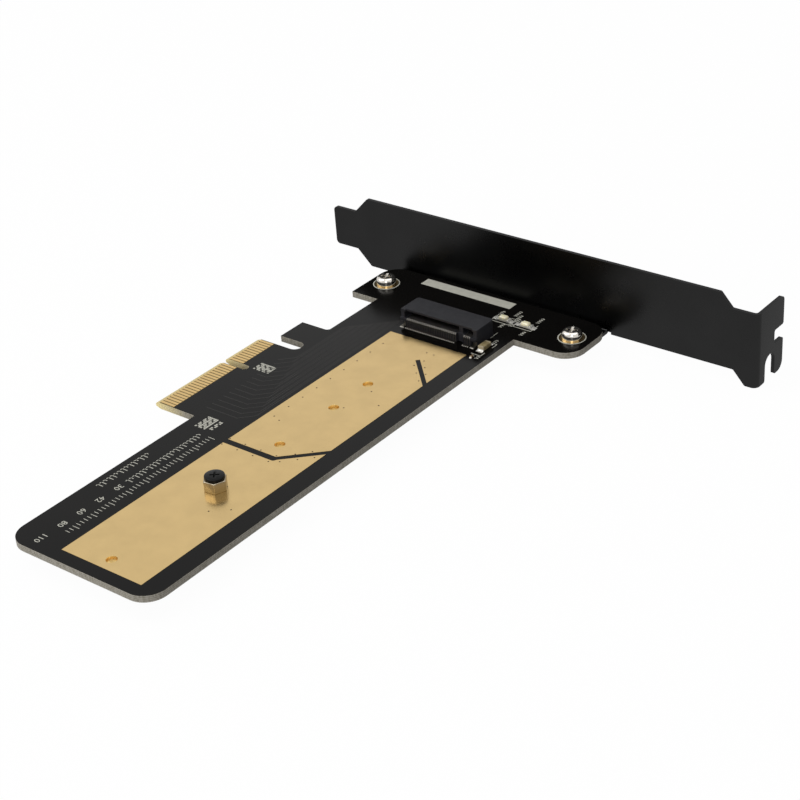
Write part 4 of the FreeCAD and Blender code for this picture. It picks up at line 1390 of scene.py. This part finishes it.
@dataclass
class Joints:
    """Solder at the ends of the lamps and the capacitors; sizes in millimetres.

    A capacitor's reach and rise are shares of its height, and its pads' sizes shares of its width.
    """

    lamps: Sequence[Lamp] = field(default_factory=list)
    chips: Sequence[Chip] = field(default_factory=list)
    lamp_reach: float = 0.55
    chip_reach: float = 0.45
    chip_rise: float = 0.35
    pad_height: float = 0.05
    pad_edge: float = 0.03
    lamp_pad: Point2 = (0.4, 1.25)
    lamp_pad_half: float = 0.62
    chip_pad: Point2 = (0.2, 0.5)
    chip_pad_half: float = 0.55

    def build(self) -> None:
        """Lay a hollow fillet at each end of each part and tin its pads."""
        blank = Blank()
        for lamp in self.lamps:
            for side in (-1, 1):
                self.fillet(blank, (lamp.x, lamp.y + side * lamp.length / 2), (0, side),
                            lamp.width, self.lamp_reach, lamp.base_height)
        blank.piece("lamp_joints", (Coat.SOLDER,), "solder", ("lamp_solder",))
        self.pads()
        blank = Blank()
        for chip in self.chips:
            length, width, height = chip.size
            for side in (-1, 1):
                self.fillet(blank, (chip.x + side * length / 2, chip.y), (side, 0), width,
                            height * self.chip_reach, height * self.chip_rise)
        blank.piece("chip_joints", (Coat.SOLDER,), "solder", ("capacitor_solder",))

    def pads(self) -> None:
        """Tin the bare parts of the pads beyond the joints."""
        blank = Blank()
        for lamp in self.lamps:
            half = self.lamp_pad_half
            for side in (-1, 1):
                near, far = sorted(lamp.y + side * (lamp.length / 2 + reach)
                                   for reach in self.lamp_pad)
                blank.box((lamp.x - half, near, 0), (lamp.x + half, far, self.pad_height),
                          self.pad_edge)
        for chip in self.chips:
            length, width, _ = chip.size
            half = width * self.chip_pad_half
            for side in (-1, 1):
                near, far = sorted(chip.x + side * (length / 2 + reach * width)
                                   for reach in self.chip_pad)
                blank.box((near, chip.y - half, 0), (far, chip.y + half, self.pad_height),
                          self.pad_edge)
        blank.piece("tinned_pads", (Coat.SOLDER,), "solder")

    @staticmethod
    def fillet(blank: Blank, foot: Point2, way: Point2, width: float, reach: float,
               height: float) -> None:
        """Add one hollow fillet.

        Args:
            blank: mesh to add to.
            foot: middle of the part's end.
            way: direction away from the part.
            width: width of the end.
            reach: length on the board.
            height: height up the end.
        """
        across = (-way[1], way[0])
        x, y = foot[0] - across[0] * width / 2, foot[1] - across[1] * width / 2
        turns = [math.radians(angle) for angle in range(0, 91, 15)]
        curve = [(reach * (1 - math.sin(turn)), height * (1 - math.cos(turn))) for turn in turns]
        profile = [(x + way[0] * along, y + way[1] * along, rise) for along, rise in curve]
        profile.append((x, y, 0))
        blank.ridge(profile, (across[0] * width, across[1] * width, 0))


# ---------------------------------------------------------------- studio


@dataclass(frozen=True)
class SoftLight:
    """Soft square light that faces the card; lengths in metres, power in watts."""

    name: str
    place: Point3
    size: float
    power: float
    mirrored: bool = True

    def build(self) -> None:
        """Hang the light, and hide it from shiny surfaces if it is not to be mirrored."""
        data = bpy.data.lights.new(self.name, "AREA")
        data.size = self.size
        data.energy = self.power
        lamp = bpy.data.objects.new(self.name, data)
        spot = Vector(self.place)
        turn = (-spot).to_track_quat("-Z", "Y").to_matrix().to_4x4()
        lamp.matrix_world = Matrix.Translation(spot) @ turn
        lamp.visible_glossy = self.mirrored
        bpy.context.scene.collection.objects.link(lamp)


@dataclass
class Studio:
    """Plain white floor, soft lights and the camera; sizes in metres unless named otherwise.

    The eye is in the card's millimetres, and the lens and the sensor are in millimetres.
    """

    eye: Point3 = (324.2728, 238.1053, 205.5125)
    forward: Point3 = (-0.66272, -0.55572, -0.50198)
    up: Point3 = (-0.43216, -0.26363, 0.86240)
    lens: float = 84.12
    sensor: float = 36.0
    near_clip: float = 0.01
    aside: float = -0.0002
    raised: float = 0.0006
    sky_level: float = 0.27
    floor_size: float = 8.0
    floor_drop: float = 0.0002
    floor_colour: Colour = (0.92, 0.92, 0.92)
    floor_glow: float = 0.97
    lights: Sequence[SoftLight] = (
        SoftLight("key", (0.4, -0.7, 1.0), size=1.05, power=8.0),
        SoftLight("fill", (1.0, 0.66, 0.72), size=0.5, power=2.6),
        SoftLight("end", (1.3, -0.15, 0.26), size=0.8, power=10.0, mirrored=False),
        SoftLight("top", (-0.2, 0.2, 1.2), size=1.0, power=3.3),
    )

    def build(self) -> None:
        """Make the world, the floor, the lights and the camera."""
        self.world()
        self.floor()
        for light in self.lights:
            light.build()
        self.camera()

    def world(self) -> None:
        """White to the camera and to mirrors, and a plain level for everything else."""
        world = bpy.data.worlds.new("studio")
        tree = fresh_tree(world)
        plain = shader(tree, "ShaderNodeBackground", WHITE, self.sky_level)
        white = shader(tree, "ShaderNodeBackground", WHITE, 1.0)
        blend(tree, seen_directly(tree), plain, white, "ShaderNodeOutputWorld")
        bpy.context.scene.world = world

    def floor(self) -> None:
        """White floor that keeps a faint shadow."""
        low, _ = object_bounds()
        mesh = bmesh.new()
        bmesh.ops.create_grid(mesh, x_segments=1, y_segments=1, size=self.floor_size / 2)
        data = bpy.data.meshes.new("floor")
        mesh.to_mesh(data)
        mesh.free()
        data.transform(Matrix.Translation((0, 0, low[2] - self.floor_drop)))
        data.materials.append(self.floor_paint())
        floor = bpy.data.objects.new("floor", data)
        bpy.context.scene.collection.objects.link(floor)
        floor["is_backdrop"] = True

    def floor_paint(self) -> bpy.types.Material:
        """Matt white that glows for the camera and for mirrors, so that it looks even.

        Returns:
            The material.
        """
        material = bpy.data.materials.new("white_floor")
        tree = fresh_tree(material)
        matt = shader(tree, "ShaderNodeBsdfDiffuse", self.floor_colour)
        glow = shader(tree, "ShaderNodeEmission", WHITE, 1.0)
        share = tree.nodes.new("ShaderNodeMath")
        share.operation = "MULTIPLY"
        share.inputs[1].default_value = self.floor_glow
        tree.links.new(seen_directly(tree), share.inputs[0])
        blend(tree, share.outputs[0], matt, glow, "ShaderNodeOutputMaterial")
        return material

    def camera(self) -> None:
        """Set the camera at its viewing angle."""
        data = bpy.data.cameras.new("view")
        data.lens = self.lens
        data.sensor_width = self.sensor
        data.shift_x, data.shift_y = self.aside, self.raised
        data.clip_start = self.near_clip
        forward, up = Vector(self.forward).normalized(), Vector(self.up).normalized()
        right = forward.cross(up).normalized()
        up = right.cross(forward)
        turn = Matrix((right, up, -forward)).transposed().to_4x4()
        camera = bpy.data.objects.new("view", data)
        camera.matrix_world = Matrix.Translation(DATUM.at(*self.eye)) @ turn
        bpy.context.scene.collection.objects.link(camera)
        bpy.context.scene.camera = camera
        bpy.context.scene.view_settings.view_transform = "Standard"


def fresh_tree(owner: bpy.types.ID) -> bpy.types.NodeTree:
    """Empty node tree of a world or a material.

    Args:
        owner: the world or the material.

    Returns:
        Its tree.
    """
    owner.use_nodes = True
    owner.node_tree.nodes.clear()
    return owner.node_tree


def shader(tree: bpy.types.NodeTree, kind: str, colour: Colour,
           strength: Optional[float] = None) -> bpy.types.NodeSocket:
    """Add a plain shader.

    Args:
        tree: tree to add the node to.
        kind: the node's type.
        colour: its colour.
        strength: its strength, or None where it has none.

    Returns:
        The shader output.
    """
    node = tree.nodes.new(kind)
    node.inputs["Color"].default_value = (*colour, 1)
    if strength is not None:
        node.inputs["Strength"].default_value = strength
    return node.outputs[0]


def blend(tree: bpy.types.NodeTree, share: bpy.types.NodeSocket, first: bpy.types.NodeSocket,
          second: bpy.types.NodeSocket, kind: str) -> None:
    """Send a mix of two shaders to the output.

    Args:
        tree: tree to add the nodes to.
        share: share of the second shader.
        first: the first shader.
        second: the second shader.
        kind: type of the output node.
    """
    mix = tree.nodes.new("ShaderNodeMixShader")
    for source, target in zip((share, first, second), mix.inputs):
        tree.links.new(source, target)
    tree.links.new(mix.outputs[0], tree.nodes.new(kind).inputs["Surface"])


def seen_directly(tree: bpy.types.NodeTree) -> bpy.types.NodeSocket:
    """Value that is 1 for camera, mirror and glass rays.

    Args:
        tree: tree to add the nodes to.

    Returns:
        The value output.
    """
    path = tree.nodes.new("ShaderNodeLightPath")
    total = path.outputs["Is Camera Ray"]
    for ray in ("Is Glossy Ray", "Is Transmission Ray"):
        both = tree.nodes.new("ShaderNodeMath")
        both.operation = "MAXIMUM"
        tree.links.new(total, both.inputs[0])
        tree.links.new(path.outputs[ray], both.inputs[1])
        total = both.outputs[0]
    return total


def main() -> None:
    """Build the card, one sub-assembly after another, and then the studio."""
    logging.basicConfig(level=logging.INFO, format="%(message)s")
    lamps = [Lamp("inner", y=8.5), Lamp("outer", y=14.75)]
    chips = [Chip("large", x=23.85, y=12.55, size=(3.2, 1.6, 1.1), cap=0.5, body_coat=Coat.TAN,
                  slot="tan_ceramic"),
             Chip("small", x=28.92, y=12.55, size=(1.0, 0.5, 0.4), cap=0.25,
                  body_coat=Coat.BROWN, slot="brown_ceramic")]
    screws = [PanScrew(name, x, y) for name, (x, y) in SCREW_SPOTS.items()]
    for part in (Board(), Bracket(), *screws, Socket(), Standoff(), *lamps, *chips,
                 Joints(lamps, chips), Studio()):
        part.build()


if __name__ == "__main__":
    main()
